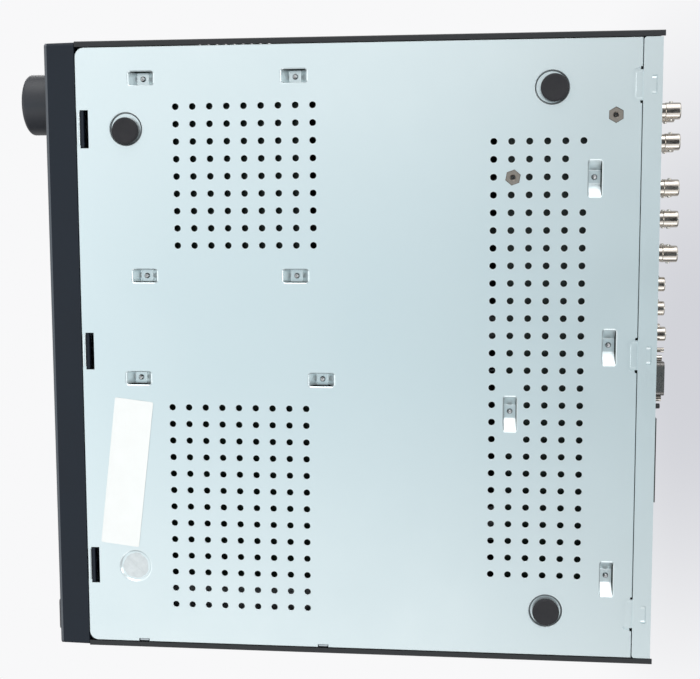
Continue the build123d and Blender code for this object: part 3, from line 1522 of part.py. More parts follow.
# Fan: square frame with a ducted bore, three struts and a stub pin
fan_y1 = panel_in_y - touch
fan_y0 = fan_y1 - fan_thick
with BuildPart() as fan_frame:
    with BuildSketch(Plane.XZ.offset(-fan_y1)):
        with Locations((fan_x, fan_z)):
            RectangleRounded(fan_size, fan_size, fan_corner)
            Circle(fan_bore, mode=Mode.SUBTRACT)
            with GridLocations(2 * fan_hole_spread, 2 * fan_hole_spread, 2, 2):
                Circle(fan_screw, mode=Mode.SUBTRACT)
    extrude(amount=fan_thick)
    # Struts on the inner side carry the motor cup and its pin
    rod_y(fan_x, fan_z, fan_y0, fan_y0 + fan_strut, fan_hub)
    with Locations(Location((fan_x, fan_y0 + fan_strut / 2, fan_z), (90, 0, 0))):
        with PolarLocations(fan_bore / 2 + fan_hub / 2, 3, start_angle=30):
            Box(fan_bore - fan_hub + fan_strut, fan_strut_wide, fan_strut)
    rod_y(fan_x, fan_z, fan_y0, fan_y1 - fan_pin_short, fan_pin)
save(fan_frame, "fan_frame")

with BuildPart() as fan_rotor:
    rotor_y0 = fan_y0 + fan_strut + fan_blade_gap
    rotor_y1 = fan_y1 - fan_blade_gap
    blade_reach = fan_bore - 2 * fan_blade_gap
    rod_y(fan_x, fan_z, rotor_y0, rotor_y1, fan_hub)
    blade_root = fan_hub - fan_blade
    for i in range(fan_blades):
        spoke = Location((fan_x, (rotor_y0 + rotor_y1) / 2, fan_z), (0, 360 * i / fan_blades, 0))
        with Locations(spoke * Location(((blade_reach + blade_root) / 2, 0, 0), (fan_pitch, 0, 0))):
            Box(blade_reach - blade_root, fan_blade, fan_blade_chord)
    rod_y(fan_x, fan_z, rotor_y0, fan_y1 - fan_pin_short + dial_gap, fan_pin + running_fit, Mode.SUBTRACT)
save(fan_rotor, "fan_rotor")


# Power supply on the four short bridges at the other side
psu_x0, psu_x1 = psu_bridge_x[0] - psu_margin, psu_bridge_x[1] + psu_margin
psu_y0, psu_y1 = psu_bridge_y[0] - psu_margin, psu_bridge_y[1] + psu_margin
with BuildPart() as power_board:
    block(psu_x0, psu_x1, psu_y0, psu_y1, bridge_top_z, board_top_z)
    for x in psu_bridge_x:
        for y in psu_bridge_y:
            rod_z(x, y, bridge_top_z, board_top_z, screw_hole / 2, Mode.SUBTRACT)
    # Plugs for the mains lead and for the harness to the main board
    block(lead_x - plug_half, lead_x + plug_half, psu_y1 - plug_in - plug_deep, psu_y1 - plug_in,
          board_top_z, lead_plug_z + plug_half)
    block(harness_x0, harness_x1, psu_y1 - plug_in - plug_deep, psu_y1 - plug_in, board_top_z,
          lead_plug_z + plug_half)
save(power_board, "power_board")

with BuildPart() as power_transformer:
    x, y, z = transformer_x, transformer_y, board_top_z
    long, wide, high = transformer_size
    block(x - long / 2, x + long / 2, y - wide / 2, y + wide / 2, z, z + high)
    # Windings bulge out of the core on two sides
    with Locations((x, y, z + high / 2)):
        Box(winding_long, wide + 2 * winding_bulge, high - 2 * winding_bulge)
    block(filter_x - filter_size / 2, filter_x + filter_size / 2, filter_y - filter_size / 2,
          filter_y + filter_size / 2, z, z + filter_size)
save(power_transformer, "power_transformer")

with BuildPart() as power_capacitors:
    for x, y, radius, high in power_cans:
        rod_z(x, y, board_top_z, board_top_z + high, radius)
save(power_capacitors, "power_capacitors")

with BuildPart() as power_heatsinks:
    for x in power_sink_x:
        block(x - power_sink_thick / 2, x + power_sink_thick / 2, power_sink_y0, power_sink_y1, board_top_z,
              board_top_z + power_sink_high)
        for i in range(power_sink_fins):
            y = power_sink_y0 + i * (power_sink_y1 - power_sink_y0 - sheet) / (power_sink_fins - 1)
            block(x - power_sink_wide / 2, x + power_sink_wide / 2, y, y + sheet,
                  board_top_z + power_sink_foot, board_top_z + power_sink_high)
save(power_heatsinks, "power_heatsinks")


# Rubber feet: three discs, narrower where they are stuck, each a little off
# the middle of its recess; the fourth recess is empty
with BuildPart() as rubber_feet:
    for i, (x, y) in enumerate(foot_places):
        if i != empty_foot:
            off_x, off_y = foot_offsets[i]
            with Locations((x + off_x, y + off_y, 0)):
                Cone(foot_diameter / 2, foot_neck / 2, under_z + foot_recess,
                     align=(Align.CENTER, Align.CENTER, Align.MIN))
    fillet(rubber_feet.edges().group_by(Axis.Z)[0], foot_round)
save(rubber_feet, "rubber_feet")

with BuildPart() as blank_label:
    with BuildSketch(Plane.XY.offset(under_z - label_thick)):
        with Locations(Location((label_x, label_y, 0), (0, 0, label_turn))):
            RectangleRounded(label_long, label_wide, label_round)
    extrude(amount=label_thick)
save(blank_label, "blank_label")


# Screws that hold the boards, the bracket, the hard disc and the front board
with BuildPart() as mounting_screws:
    seats = [(x, y, board_top_z) for x, y in board_bridges + hex_places]
    seats += [(x, y, board_top_z) for x in psu_bridge_x for y in psu_bridge_y]
    seats += [(disc_bridge_x, y, bridge_top_z + bracket_sheet) for y in disc_bridge_y]
    for x, y, seat in seats:
        bore = hex_bore if (x, y) in hex_places else screw_shank
        rod_z(x, y, bridge_top_z - screw_tip, seat, bore / 2)
        rod_z(x, y, seat, seat + screw_head_high, screw_head / 2)
    for x in disc_screw_x:
        z = disc_z0 + disc_screw_rise
        near, far = wall_y0 - bracket_sheet, wall_y1 + bracket_sheet
        rod_y(x, z, near, disc_y0 + disc_screw_deep, screw_shank / 2)
        rod_y(x, z, near - screw_head_high, near, screw_head / 2)
        rod_y(x, z, disc_y1 - disc_screw_deep, far, screw_shank / 2)
        rod_y(x, z, far, far + screw_head_high, screw_head / 2)
    for x, rise in post_places:
        rod_y(x, under_z + rise, front_board_y - post_screw_bite, front_board_back, post_bore)
        rod_y(x, under_z + rise, front_board_back, front_board_back + screw_head_high, screw_head / 2)
save(mounting_screws, "mounting_screws")

with BuildPart() as hex_standoffs:
    for (x, y), turn in zip(hex_places, hex_turns):
        with BuildSketch(Plane.XY.offset(under_z)) as hexagon:
            with Locations((x, y)):
                RegularPolygon(hex_across / 2, 6, major_radius=False, rotation=turn)
        extrude(hexagon.sketch, amount=hex_head)
        rod_z(x, y, under_z, bridge_top_z, hex_shank / 2)
        rod_z(x, y, under_z, bridge_top_z, hex_bore / 2, Mode.SUBTRACT)
        with Locations((x, y, under_z)):
            Cone(hex_bore / 2 + hex_sink, hex_bore / 2, hex_sink,
                 align=(Align.CENTER, Align.CENTER, Align.MIN), mode=Mode.SUBTRACT)
    low_edges = hex_standoffs.edges().filter_by_position(Axis.Z, under_z - touch, under_z + touch)
    chamfer(low_edges.filter_by(GeomType.LINE), hex_break)
save(hex_standoffs, "hex_standoffs")

with BuildPart() as panel_screws:
    for x in cover_screw_x:
        rod_y(x, cover_screw_z, panel_in_y - screw_tip, cover_y1, screw_shank / 2)
        rod_y(x, cover_screw_z, cover_y1, cover_y1 + screw_head_high, screw_head / 2)
    for side in (-1, 1):
        for level in (-1, 1):
            x = fan_x + side * fan_hole_spread
            z = fan_z + level * fan_hole_spread
            rod_y(x, z, fan_y0, rear_y, screw_shank / 2)
            rod_y(x, z, rear_y, rear_y + screw_head_high, screw_head / 2)
save(panel_screws, "panel_screws")


def strap(points, x0, x1, thick):
    """Flat cable as wide as x0 to x1, following (y, z) points with soft bends."""
    with BuildSketch(Plane.YZ.offset(x0)) as outline:
        with BuildLine():
            FilletPolyline(*points, radius=cable_bend)
            offset(amount=thick, side=Side.LEFT, closed=True)
        make_face()
    extrude(outline.sketch, amount=x1 - x0)


# Flat cables: front board, disc drive and hard disc, each to its own header
header_z = board_top_z + header_high
header_y = main_y0 + header_in
with BuildPart() as ribbon_cables:
    lie_z = floor_z + ribbon_lie
    plug_z = under_z + (ribbon_window_low + ribbon_window_high) / 2
    strap(
        (
            (front_board_back, plug_z),
            (plate_front_y + cable_turn, plug_z),
            (plate_front_y + cable_turn, lie_z),
            (header_y - cable_turn, lie_z),
            (header_y - cable_turn, header_z - header_drop),
            (header_y, header_z - header_drop),
        ),
        ribbon_x0,
        ribbon_x1,
        ribbon_thick,
    )
    strap(
        (
            (case_y1, eject_z),
            (case_y1 + 2 * cable_turn, eject_z),
            (header_y - 3 * cable_turn, header_z - header_drop),
            (header_y, header_z - header_drop),
        ),
        drive_cable_x0,
        drive_cable_x1,
        ribbon_thick,
    )
    with BuildSketch(Plane.XY.offset(disc_cable_low)) as disc_strap:
        with BuildLine():
            FilletPolyline(
                (disc_x1 + disc_plug_out, disc_cable_y),
                (disc_cable_x, disc_cable_y),
                (disc_cable_x, header_y),
                radius=cable_bend,
            )
            offset(amount=disc_cable_thick, side=Side.LEFT, closed=True)
        make_face()
    extrude(disc_strap.sketch, amount=disc_cable_high - disc_cable_low)
save(ribbon_cables, "ribbon_cables")


# Mains lead from the inlet to the power board, and that board's harness
with BuildPart() as power_leads:
    lead_z = under_z + lead_rise
    lead = (
        (inlet_x, rear_y - inlet_deep, inlet_z),
        (inlet_x, rear_y - inlet_deep - cable_turn, inlet_z),
        (inlet_x, rear_y - inlet_deep - cable_turn, lead_z),
        (inlet_x, lead_y, lead_z),
        (lead_x, lead_y, lead_z),
        (lead_x, psu_y1 + cable_turn, lead_z),
        (lead_x, psu_y1 + cable_turn, lead_plug_z),
        (lead_x, psu_y1 - plug_in, lead_plug_z),
    )
    with BuildLine() as route:
        FilletPolyline(*lead, radius=lead_bends)
    with BuildSketch(Plane(origin=route.line @ 0, z_dir=route.line % 0)) as lead_section:
        Circle(lead_radius)
    sweep(lead_section.sketch, path=route.wires()[0])
    strap(
        (
            (psu_y1 - plug_in, lead_plug_z),
            (psu_y1 + cable_turn, lead_plug_z),
            (header_y - 3 * cable_turn, header_z - header_drop),
            (header_y, header_z - header_drop),
        ),
        harness_x0 + header_side,
        harness_x1 - header_side,
        harness_thick,
    )
save(power_leads, "power_leads")
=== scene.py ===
# %% [markdown]
# # A digital video recorder, seen from below
#
# The real object is a wide, flat box of folded steel: a bright zinc-plated
# bottom plate full of vent holes, a black painted cover, a dark moulded front
# and a rear panel with rows of sockets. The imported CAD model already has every
# solid in its place. This lesson adds what CAD leaves out: the finishes, the
# soft edges of turned and moulded pieces, a little wear, and the light.

import json
import math

import bmesh
import bpy
import numpy as np
from mathutils import Matrix, Vector

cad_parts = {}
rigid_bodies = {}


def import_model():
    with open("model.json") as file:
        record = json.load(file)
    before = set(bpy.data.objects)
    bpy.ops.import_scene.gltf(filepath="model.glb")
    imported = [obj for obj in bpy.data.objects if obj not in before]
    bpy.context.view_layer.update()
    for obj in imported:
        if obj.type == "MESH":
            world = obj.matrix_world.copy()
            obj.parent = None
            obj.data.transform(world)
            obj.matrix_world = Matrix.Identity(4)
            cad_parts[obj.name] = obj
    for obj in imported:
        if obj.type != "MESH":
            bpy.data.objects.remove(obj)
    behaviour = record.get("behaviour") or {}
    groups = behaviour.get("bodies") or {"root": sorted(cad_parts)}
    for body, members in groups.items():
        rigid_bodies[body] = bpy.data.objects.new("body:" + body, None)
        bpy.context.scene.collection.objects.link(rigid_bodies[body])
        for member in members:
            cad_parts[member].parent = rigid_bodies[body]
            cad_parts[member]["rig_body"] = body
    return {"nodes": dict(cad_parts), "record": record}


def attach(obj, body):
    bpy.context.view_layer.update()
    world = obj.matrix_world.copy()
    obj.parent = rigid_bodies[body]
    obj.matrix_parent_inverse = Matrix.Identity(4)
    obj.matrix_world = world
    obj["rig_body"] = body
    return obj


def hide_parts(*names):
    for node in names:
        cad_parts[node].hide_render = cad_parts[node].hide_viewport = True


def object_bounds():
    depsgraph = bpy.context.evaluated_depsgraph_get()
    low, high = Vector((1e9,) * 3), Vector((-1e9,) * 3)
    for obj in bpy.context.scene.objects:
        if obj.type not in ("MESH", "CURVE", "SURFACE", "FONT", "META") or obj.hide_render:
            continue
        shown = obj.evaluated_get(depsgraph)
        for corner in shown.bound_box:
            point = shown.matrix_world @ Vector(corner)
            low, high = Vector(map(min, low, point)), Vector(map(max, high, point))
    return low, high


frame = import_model()
nodes = frame["nodes"]
cad_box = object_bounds()
MM = 0.001
print("CAD box in mm:", [[round(v / MM, 1) for v in corner] for corner in cad_box])

# %% [markdown]
# ## The camera
#
# The photograph looks up at the bottom plate from about 0.68 m, a little to
# the rear and towards one side. Its place and lens were solved from the rows
# of vent holes, which stand 10 mm apart in all directions. A camera in Blender
# looks along its own -Z, so its three axes are set from the line of sight and
# from the direction that points up the picture.

# %% The camera
camera_place = Vector((78.7, 76.7, -678.8)) * MM
sight = Vector((-0.10254, -0.10519, 0.98915)).normalized()
picture_up = Vector((0.99472, -0.0069, 0.10238))
picture_right = sight.cross(picture_up).normalized()
picture_up = picture_right.cross(sight).normalized()

camera_data = bpy.data.cameras.new("photo_camera")
camera_data.sensor_width = 36.0
camera_data.lens = 61.11
camera_data.clip_start, camera_data.clip_end = 0.01, 50.0
camera = bpy.data.objects.new("photo_camera", camera_data)
turn = Matrix((picture_right, picture_up, -sight)).transposed()
camera.matrix_world = Matrix.Translation(camera_place) @ turn.to_4x4()
bpy.context.scene.collection.objects.link(camera)
bpy.context.scene.camera = camera
bpy.context.scene.view_settings.view_transform = "Standard"
print("camera", round(camera_place.length, 3), "m from the middle")


# %% [markdown]
# ## Two helpers for materials
#
# Colours are listed as a screen shows them, so they are sRGB hex values, while a
# renderer adds up light, which needs linear numbers. One function turns the first
# into the second. Another adds a shader node with its settings and its links, so
# that each material below reads as a list.

# %% Colour and node helpers
def linear(hex_colour):
    """sRGB hex to linear: below 0.04045 divide by 12.92, above raise to 2.4."""
    value = np.array([int(hex_colour[i : i + 2], 16) for i in (1, 3, 5)]) / 255
    low, high = value / 12.92, ((value + 0.055) / 1.055) ** 2.4
    return (*np.where(value <= 0.04045, low, high).tolist(), 1.0)


def add(tree, kind, settings=None, links=None):
    """Adds one node: lower-case settings are its options, others its inputs."""
    made = tree.nodes.new("ShaderNode" + kind)
    for key, value in (settings or {}).items():
        if isinstance(key, str) and key[0].islower():
            setattr(made, key, value)
        else:
            made.inputs[key].default_value = value
    for key, source in (links or {}).items():
        tree.links.new(source, made.inputs[key])
    return made


# %% [markdown]
# ## The studio
#
# The photograph has a white ground with a soft grey shade beyond the sockets.
# The recorder stands on its feet here, and the camera is below the floor. So
# the floor under the feet and the card over the cover each show one side only:
# this camera looks through the floor and sees the card, and a camera above the
# recorder sees the floor. Neither throws a shadow or shows in the metal. The
# card glows, and its grey beyond the sockets is a painted shadow.

# %% Floor and card, each seen from one side
def one_sided(name, front):
    """Shows the shader that front builds before it, and is clear from behind."""
    made = bpy.data.materials.new(name)
    made.use_nodes = True
    tree = made.node_tree
    tree.nodes.clear()
    side = add(tree, "NewGeometry")
    clear = add(tree, "BsdfTransparent")
    shown = front(tree)
    mixed = add(tree, "MixShader",
                links={0: side.outputs["Backfacing"], 1: shown.outputs[0], 2: clear.outputs[0]})
    add(tree, "OutputMaterial", links={0: mixed.outputs[0]})
    return made


def matt_paper(tree):
    """Pale paper with a faint mottle, some forty patches along each side."""
    spread = add(tree, "TexNoise", {"Scale": 40.0, "Detail": 2.0})
    tone = add(tree, "Mix", {"data_type": "RGBA", 6: linear("#EFEFF0"), 7: linear("#F5F5F6")},
               {0: spread.outputs[0]})
    return add(tree, "BsdfDiffuse", links={"Color": tone.outputs[2]})


def card_glow_with_painted_shadow(tree):
    """A card that glows as if lit from behind, nearly white, with a painted shadow:
    greyer in a wide oval beyond the rear panel, where the sockets would keep the light off."""
    middle, reach = (-10 * MM, 208 * MM, 0), (260 * MM, 95 * MM, 1)
    place = add(tree, "TexCoord").outputs["Object"]
    oval = add(tree, "Mapping", {"vector_type": "TEXTURE", "Location": middle, "Scale": reach},
               {"Vector": place})
    fade = add(tree, "TexGradient", {"gradient_type": "SPHERICAL"}, {"Vector": oval.outputs[0]})
    # Painted shadow: the grey #D2D3D9 oval stands in for the recorder's shadow on the card.
    shade = add(tree, "MapRange", {"interpolation_type": "SMOOTHSTEP", "From Max": 0.9},
                {"Value": fade.outputs["Fac"]})
    tone = add(tree, "Mix", {"data_type": "RGBA", 6: linear("#F8F8F9"), 7: linear("#D2D3D9")},
               {0: shade.outputs[0]})
    return add(tree, "Emission", links={"Color": tone.outputs[2]})


def stage_sheet(name, size, level, upward, material):
    """A flat square at one level, its shown side up or down."""
    half = size / 2
    corners = [(-half, -half, level), (half, -half, level), (half, half, level), (-half, half, level)]
    mesh = bpy.data.meshes.new(name)
    mesh.from_pydata(corners, [], [(0, 1, 2, 3) if upward else (3, 2, 1, 0)])
    mesh.materials.append(material)
    made = bpy.data.objects.new(name, mesh)
    bpy.context.scene.collection.objects.link(made)
    made.visible_shadow = False
    made.visible_diffuse = False
    made.visible_glossy = False
    made.visible_transmission = False
    return made


floor_size, floor_gap = 14.0, 0.02 * MM
card_size, card_gap = 3.0, 1.5 * MM
floor_paper = one_sided("pale_floor_paper", matt_paper)
floor = stage_sheet("studio_floor", floor_size, -floor_gap, True, floor_paper)
card_board = one_sided("white_card_with_painted_shadow", card_glow_with_painted_shadow)
card = stage_sheet("studio_card", card_size, cad_box[1].z + card_gap, False, card_board)
print("stage:", floor.name, card.name)

# %% [markdown]
# ## The light of the room
#
# A zinc plate is a soft mirror, so what it reflects matters more than the lamps
# do. The room is therefore drawn into the world shader instead of being built:
# each part of it is a smooth step of the direction that a ray looks in. Three
# helpers say that in one line each: a step, a sum or product, and an oval.

# %% Helpers for the room
world = bpy.data.worlds.new("white_room")
bpy.context.scene.world = world
world.use_nodes = True
sky = world.node_tree
sky.nodes.clear()
looking = add(sky, "TexCoord").outputs["Generated"]


def ramp(source, start, end, first=0.0, last=1.0):
    """A smooth step of a value: first before start, last beyond end."""
    return add(sky, "MapRange",
               {"interpolation_type": "SMOOTHSTEP", "From Min": start, "From Max": end,
                "To Min": first, "To Max": last}, {"Value": source}).outputs[0]


def combine(operation, *values):
    """One sum or product over the values given."""
    return add(sky, "Math", {"operation": operation}, dict(enumerate(values))).outputs[0]


def oval_of(way, squeeze, edge):
    """One inside an oval round a way of looking and 0 outside it: directions
    are squeezed before the angle is taken, and edge is its cosine, out to in."""
    middle = (Vector(way) * Vector(squeeze)).normalized()
    squeezed = add(sky, "VectorMath", {"operation": "MULTIPLY", 1: squeeze}, {0: looking})
    direction = add(sky, "VectorMath", {"operation": "NORMALIZE"}, {0: squeezed.outputs[0]})
    towards = add(sky, "VectorMath", {"operation": "DOT_PRODUCT", 1: middle}, {0: direction.outputs[0]})
    return ramp(towards.outputs["Value"], *edge)


# %% [markdown]
# ## The walls of the room
#
# Behind the camera hangs a dimmer, bluer wall, which gives the plate its tone,
# and across it a dark boom, which draws the black line in every nickel socket.
# A bright band runs round the lower walls. The strength of the light is kept
# apart from its colour, and each wall adds to it or takes from it.

# %% The walls of the room
dim_wall = oval_of((-0.09, 0.34, -1.0), (1.9, 0.3, 1.0), (0.90, 1.0))
room = add(sky, "Mix", {"data_type": "RGBA", 6: linear("#FFFFFF"), 7: linear("#B4CBD3")}, {0: dim_wall})
boom = oval_of((0.0, 0.156, -0.98), (0.5, 12.0, 1.0), (0.985, 0.992))
room = add(sky, "Mix", {"data_type": "RGBA", 7: linear("#2A2624")}, {0: boom, 6: room.outputs[2]})

# The band lies between two heights, shines towards +X, where it whitens every
# bend of the sheet that leans that way, is dark towards -X, and fades out
# before it reaches the front and the rear.
look_x, look_y, look_z = add(sky, "SeparateXYZ", links={"Vector": looking}).outputs
band = combine("MULTIPLY", ramp(look_z, -0.8, -0.4), ramp(look_z, 0.4, 0.1))
band = combine("MULTIPLY", band, ramp(combine("ABSOLUTE", look_y), 0.75, 0.35))
band_gain = ramp(look_x, -0.8, -0.2, -0.8, 0.5)
# The ceiling is dimmer than the floor side, which the camera looks up from,
# and the wall behind the rear panel dimmer still, so the panel keeps its tone.
room_gain = ramp(look_z, -0.1, 0.35, 1.20, 0.55)
rear_gain = ramp(look_y, 0.3, 0.75, 0.0, -0.6)
gain = combine("ADD", combine("MULTIPLY_ADD", band, band_gain, room_gain), rear_gain)
glow = add(sky, "Background", links={"Color": room.outputs[2], "Strength": gain})
add(sky, "OutputWorld", links={0: glow.outputs[0]})
print("sky:", len(sky.nodes), "nodes")


# %% [markdown]
# ## Soft panels
#
# Each panel is a square area light some metre away, aimed at the recorder. The
# strongest one below stands towards +X and lights the sides of the bridges.
# Three more weak ones give the front, the -X side and the sockets their edges,
# and two above the floor serve the views from above.

# %% Light panels
def soft_light(name, place, target, size, power):
    """A square light panel at a place, turned so that it faces a target."""
    data = bpy.data.lights.new(name, "AREA")
    data.size = size
    data.energy = power
    made = bpy.data.objects.new(name, data)
    bpy.context.scene.collection.objects.link(made)
    aim = Vector(target) - Vector(place)
    facing = aim.to_track_quat("-Z", "Y").to_matrix().to_4x4()
    made.matrix_world = Matrix.Translation(place) @ facing


under_middle, middle = (0, 0, 0.0), (0, 0, 0.03)
soft_light("side_band", (1.3, -0.1, -0.42), under_middle, 1.0, 5.5)
soft_light("low_front_panel", (-0.1, -1.1, -0.9), middle, 1.0, 1.5)
soft_light("low_left_panel", (-1.2, 0.2, -0.5), (0, 0.18, 0.02), 0.7, 2.5)
soft_light("high_panel", (0.6, -0.9, 1.3), middle, 1.0, 9.0)
soft_light("rear_panel_light", (-0.8, 1.1, 0.9), middle, 0.8, 2.0)
soft_light("low_rear_panel", (0.1, 1.05, -0.6), under_middle, 0.5, 3.0)


# %% [markdown]
# ## One recipe for most finishes
#
# A sheet, a moulding and a casting all look plain, yet none of them is one flat
# colour. Each has two tones that drift into each other over some centimetres,
# a gloss that drifts the same way, and a fine relief left by the way it was
# made: rolled lines, a spark-eroded mould's grain, the skin of paint. The
# recipe takes those sizes in millimetres, from the real surface, and turns
# them into noise scales, which are one over the size in metres.

# %% The finish recipe
def finish(name, tones, patch_mm, gloss, grain_mm, relief_mm, stretch=(1, 1, 1), **sockets):
    """Two tones mixed by slow noise, roughness between the two gloss values,
    and relief from a fine noise whose grain is drawn out along stretch."""
    made = bpy.data.materials.new(name)
    made.use_nodes = True
    tree = made.node_tree
    tree.nodes.clear()
    place = add(tree, "TexCoord").outputs["Object"]
    drift = add(tree, "TexNoise", {"Scale": 1 / (patch_mm * MM), "Detail": 3.0, "Roughness": 0.55},
                {"Vector": place})
    mix = add(tree, "Mix", {"data_type": "RGBA", 6: linear(tones[0]), 7: linear(tones[1])},
              {0: drift.outputs[0]})
    rough = add(tree, "MapRange",
                {"From Min": 0.3, "From Max": 0.7, "To Min": gloss[0], "To Max": gloss[1]},
                {"Value": drift.outputs[0]})
    drawn = add(tree, "Mapping", {"Scale": [1 / s for s in stretch]}, {"Vector": place})
    fine = add(tree, "TexNoise", {"Scale": 1 / (grain_mm * MM), "Detail": 2.0},
               {"Vector": drawn.outputs[0]})
    relief = add(tree, "Bump", {"Strength": 1.0, "Distance": relief_mm * MM},
                 {"Height": fine.outputs[0]})
    shader = add(tree, "BsdfPrincipled", sockets,
                 {"Base Color": mix.outputs[2], "Roughness": rough.outputs[0],
                  "Normal": relief.outputs[0]})
    add(tree, "OutputMaterial", links={0: shader.outputs[0]})
    return made


finishes = {}

# %% [markdown]
# ## The large faces
#
# Four finishes cover almost all that a view from outside shows: the bare zinc
# of the bottom and the rear, the paint of the cover, the moulded front, and the
# brushed plate on the front's face. Zinc and aluminium are metals with a rough
# sheen, and paint and plastic are not metal at all, so they differ in the
# metallic value first and in colour second.

# %% Large faces
# Electro-galvanised steel: zinc plated on from a bath, then a clear passivating
# dip. The crystals are far too fine to see, so it is silky, pale and blue-grey,
# with faint lines from the rolling mill along X.
finishes["plate_zinc"] = finish(
    "electrogalvanised_steel", ("#DDE7E9", "#D4E0E3"), 60.0, (0.29, 0.34), 0.5, 0.004, (24, 1, 24),
    Metallic=0.85)
# Powder paint: melted polyester grains, black, with a fine orange skin.
finishes["cover_paint"] = finish(
    "black_powder_paint", ("#1D1F22", "#202225"), 12.0, (0.44, 0.48), 0.5, 0.035,
    **{"Specular IOR Level": 0.4})
# ABS from a spark-eroded mould: charcoal, matt, with grain of about 0.2 mm.
finishes["plastic_front"] = finish(
    "moulded_abs_charcoal", ("#151C25", "#1A222C"), 30.0, (0.50, 0.60), 0.35, 0.02,
    **{"Specular IOR Level": 0.22})
# Aluminium foil plate, brushed along the front and lacquered.
finishes["trim_metal"] = finish(
    "brushed_aluminium", ("#66696E", "#5A5D62"), 25.0, (0.28, 0.36), 0.12, 0.006, (60, 1, 1),
    Metallic=1.0)
print("large faces:", [made.name for made in finishes.values()])

# %% [markdown]
# ## Small metal pieces
#
# Every small piece is metal of another make, and its gloss says how it was
# made. A turned barrel is plated bright, a stamping is dull from the rolling
# mill, a casting is tumbled until its grain is even, and a drawn bar keeps its
# lines along its length.

# %% Small metal pieces
# The plate's zinc finish on the small stampings inside.
finishes["zinc_steel"] = finish(
    "zinc_plated_stamping", ("#B9C0C4", "#A8B0B5"), 18.0, (0.35, 0.45), 0.5, 0.005, Metallic=0.9)
# Screws: zinc over cold-headed steel, brighter than the sheet and uneven.
finishes["screw_steel"] = finish(
    "zinc_plated_screw", ("#C6C8C9", "#9FA1A3"), 3.0, (0.2, 0.32), 0.3, 0.006, Metallic=1.0)
# Nickel over turned brass or drawn sheet: bright, warm grey, slightly wavy.
finishes["nickel"] = finish(
    "bright_nickel_plate", ("#D2CDC6", "#C0BAB2"), 6.0, (0.09, 0.15), 0.25, 0.004, (1, 6, 1),
    Metallic=1.0)
# Gold-flashed brass of the centre contacts.
finishes["contact_brass"] = finish(
    "gold_flashed_brass", ("#D8B25A", "#C49A45"), 2.0, (0.2, 0.3), 0.2, 0.002, Metallic=1.0)
# Die-cast aluminium of the hard disc and the drive, tumbled and clear coated.
finishes["cast_alloy"] = finish(
    "die_cast_aluminium", ("#9FA3A6", "#8B8F93"), 12.0, (0.4, 0.55), 0.7, 0.03, Metallic=0.9)
# Extruded heat sink, anodised black: a glassy oxide over faint drawing lines.
finishes["black_anodised"] = finish(
    "black_anodised_extrusion", ("#17181A", "#222427"), 15.0, (0.35, 0.5), 0.3, 0.006, (1, 12, 1),
    Metallic=0.6)
# Transformer core: blued electrical steel, laminated.
finishes["core_steel"] = finish(
    "laminated_core_steel", ("#4A4C50", "#3B3C40"), 8.0, (0.4, 0.55), 0.5, 0.05, (20, 20, 1),
    Metallic=0.8)
# Electrolytic cans in dark shrink sleeves, and the drives' dark lids.
finishes["can_alloy"] = finish(
    "sleeved_aluminium_can", ("#23272E", "#2B3038"), 6.0, (0.25, 0.35), 0.8, 0.01)
print(len(finishes), "finishes so far")

# %% [markdown]
# ## Plastics, rubber and paper
#
# These have no metal in them, so their colour lies under a clear surface, and
# they differ mostly in how rough that surface is. A mould's spark-eroded wall
# leaves an even grain, a polished one leaves a mirror, and rubber and paper are
# rough right through.

# %% Plastics, rubber and paper
# Knob and power key: ABS with a soft matt lacquer, so the highlight is wide.
finishes["knob_plastic"] = finish(
    "soft_lacquered_abs", ("#0F1622", "#0B111B"), 20.0, (0.36, 0.46), 0.3, 0.008,
    **{"Coat Weight": 0.15, "Coat Roughness": 0.45})
# Status window: acrylic, polished, and smoked until almost black. The disc's
# hub and the eject key are as glossy.
finishes["gloss_black"] = finish(
    "smoked_acrylic", ("#0C0D0F", "#111317"), 40.0, (0.05, 0.09), 4.0, 0.004,
    **{"Coat Weight": 0.5, "Coat Roughness": 0.03})
# Keys and tray front: grey ABS, lightly sparked, polished by fingers.
finishes["button_grey"] = finish(
    "moulded_abs_grey", ("#5E6165", "#55585C"), 8.0, (0.32, 0.46), 0.3, 0.008)
# Housings: glass-filled nylon, black, dull and slightly mottled by the fibre.
finishes["black_plastic"] = finish(
    "glass_filled_nylon_black", ("#1A1B1D", "#232427"), 4.0, (0.45, 0.6), 0.4, 0.015)
# Insulators: cream acetal, turned, waxy to the eye.
finishes["cream_plastic"] = finish(
    "cream_acetal", ("#E2DCC8", "#D6CFB8"), 3.0, (0.35, 0.45), 0.4, 0.006,
    **{"Subsurface Weight": 0.15, "Subsurface Scale": 0.001})
# Terminal strip: dark grey polyamide.
finishes["terminal_plastic"] = finish(
    "dark_grey_polyamide", ("#1D1F20", "#26292A"), 5.0, (0.4, 0.5), 0.4, 0.012)
# Tray: dark grey ABS, moulded.
finishes["tray_plastic"] = finish(
    "moulded_abs_dark_tray", ("#3A3C40", "#323438"), 20.0, (0.4, 0.5), 0.4, 0.01)
# Feet: nitrile rubber, dusty, with a fine grain.
finishes["feet_rubber"] = finish(
    "die_cut_rubber", ("#1D1D20", "#252529"), 5.0, (0.62, 0.8), 0.45, 0.03,
    **{"Specular IOR Level": 0.35})
# Sleeve of the mains lead: soft PVC.
finishes["lead_black"] = finish(
    "soft_pvc_sleeve", ("#161618", "#1E1E21"), 8.0, (0.4, 0.5), 0.6, 0.01)
# Label: matt coated paper, a little greyed and scuffed.
finishes["label_paper"] = finish(
    "coated_label_paper", ("#E9EBEA", "#E2E4E2"), 12.0, (0.5, 0.65), 0.25, 0.004)
print(len(finishes), "finishes so far")


# %% [markdown]
# ## Circuit boards and flat cable
#
# A board is glass cloth in green resin with copper under the lacquer, so it
# shows a dull green with slightly lighter lines where the copper runs. A flat
# cable is a row of wires, 1.27 mm apart, in one ribbed sheet of PVC. Neither
# drift of tones nor fine grain gives those, so they get their own patterns.

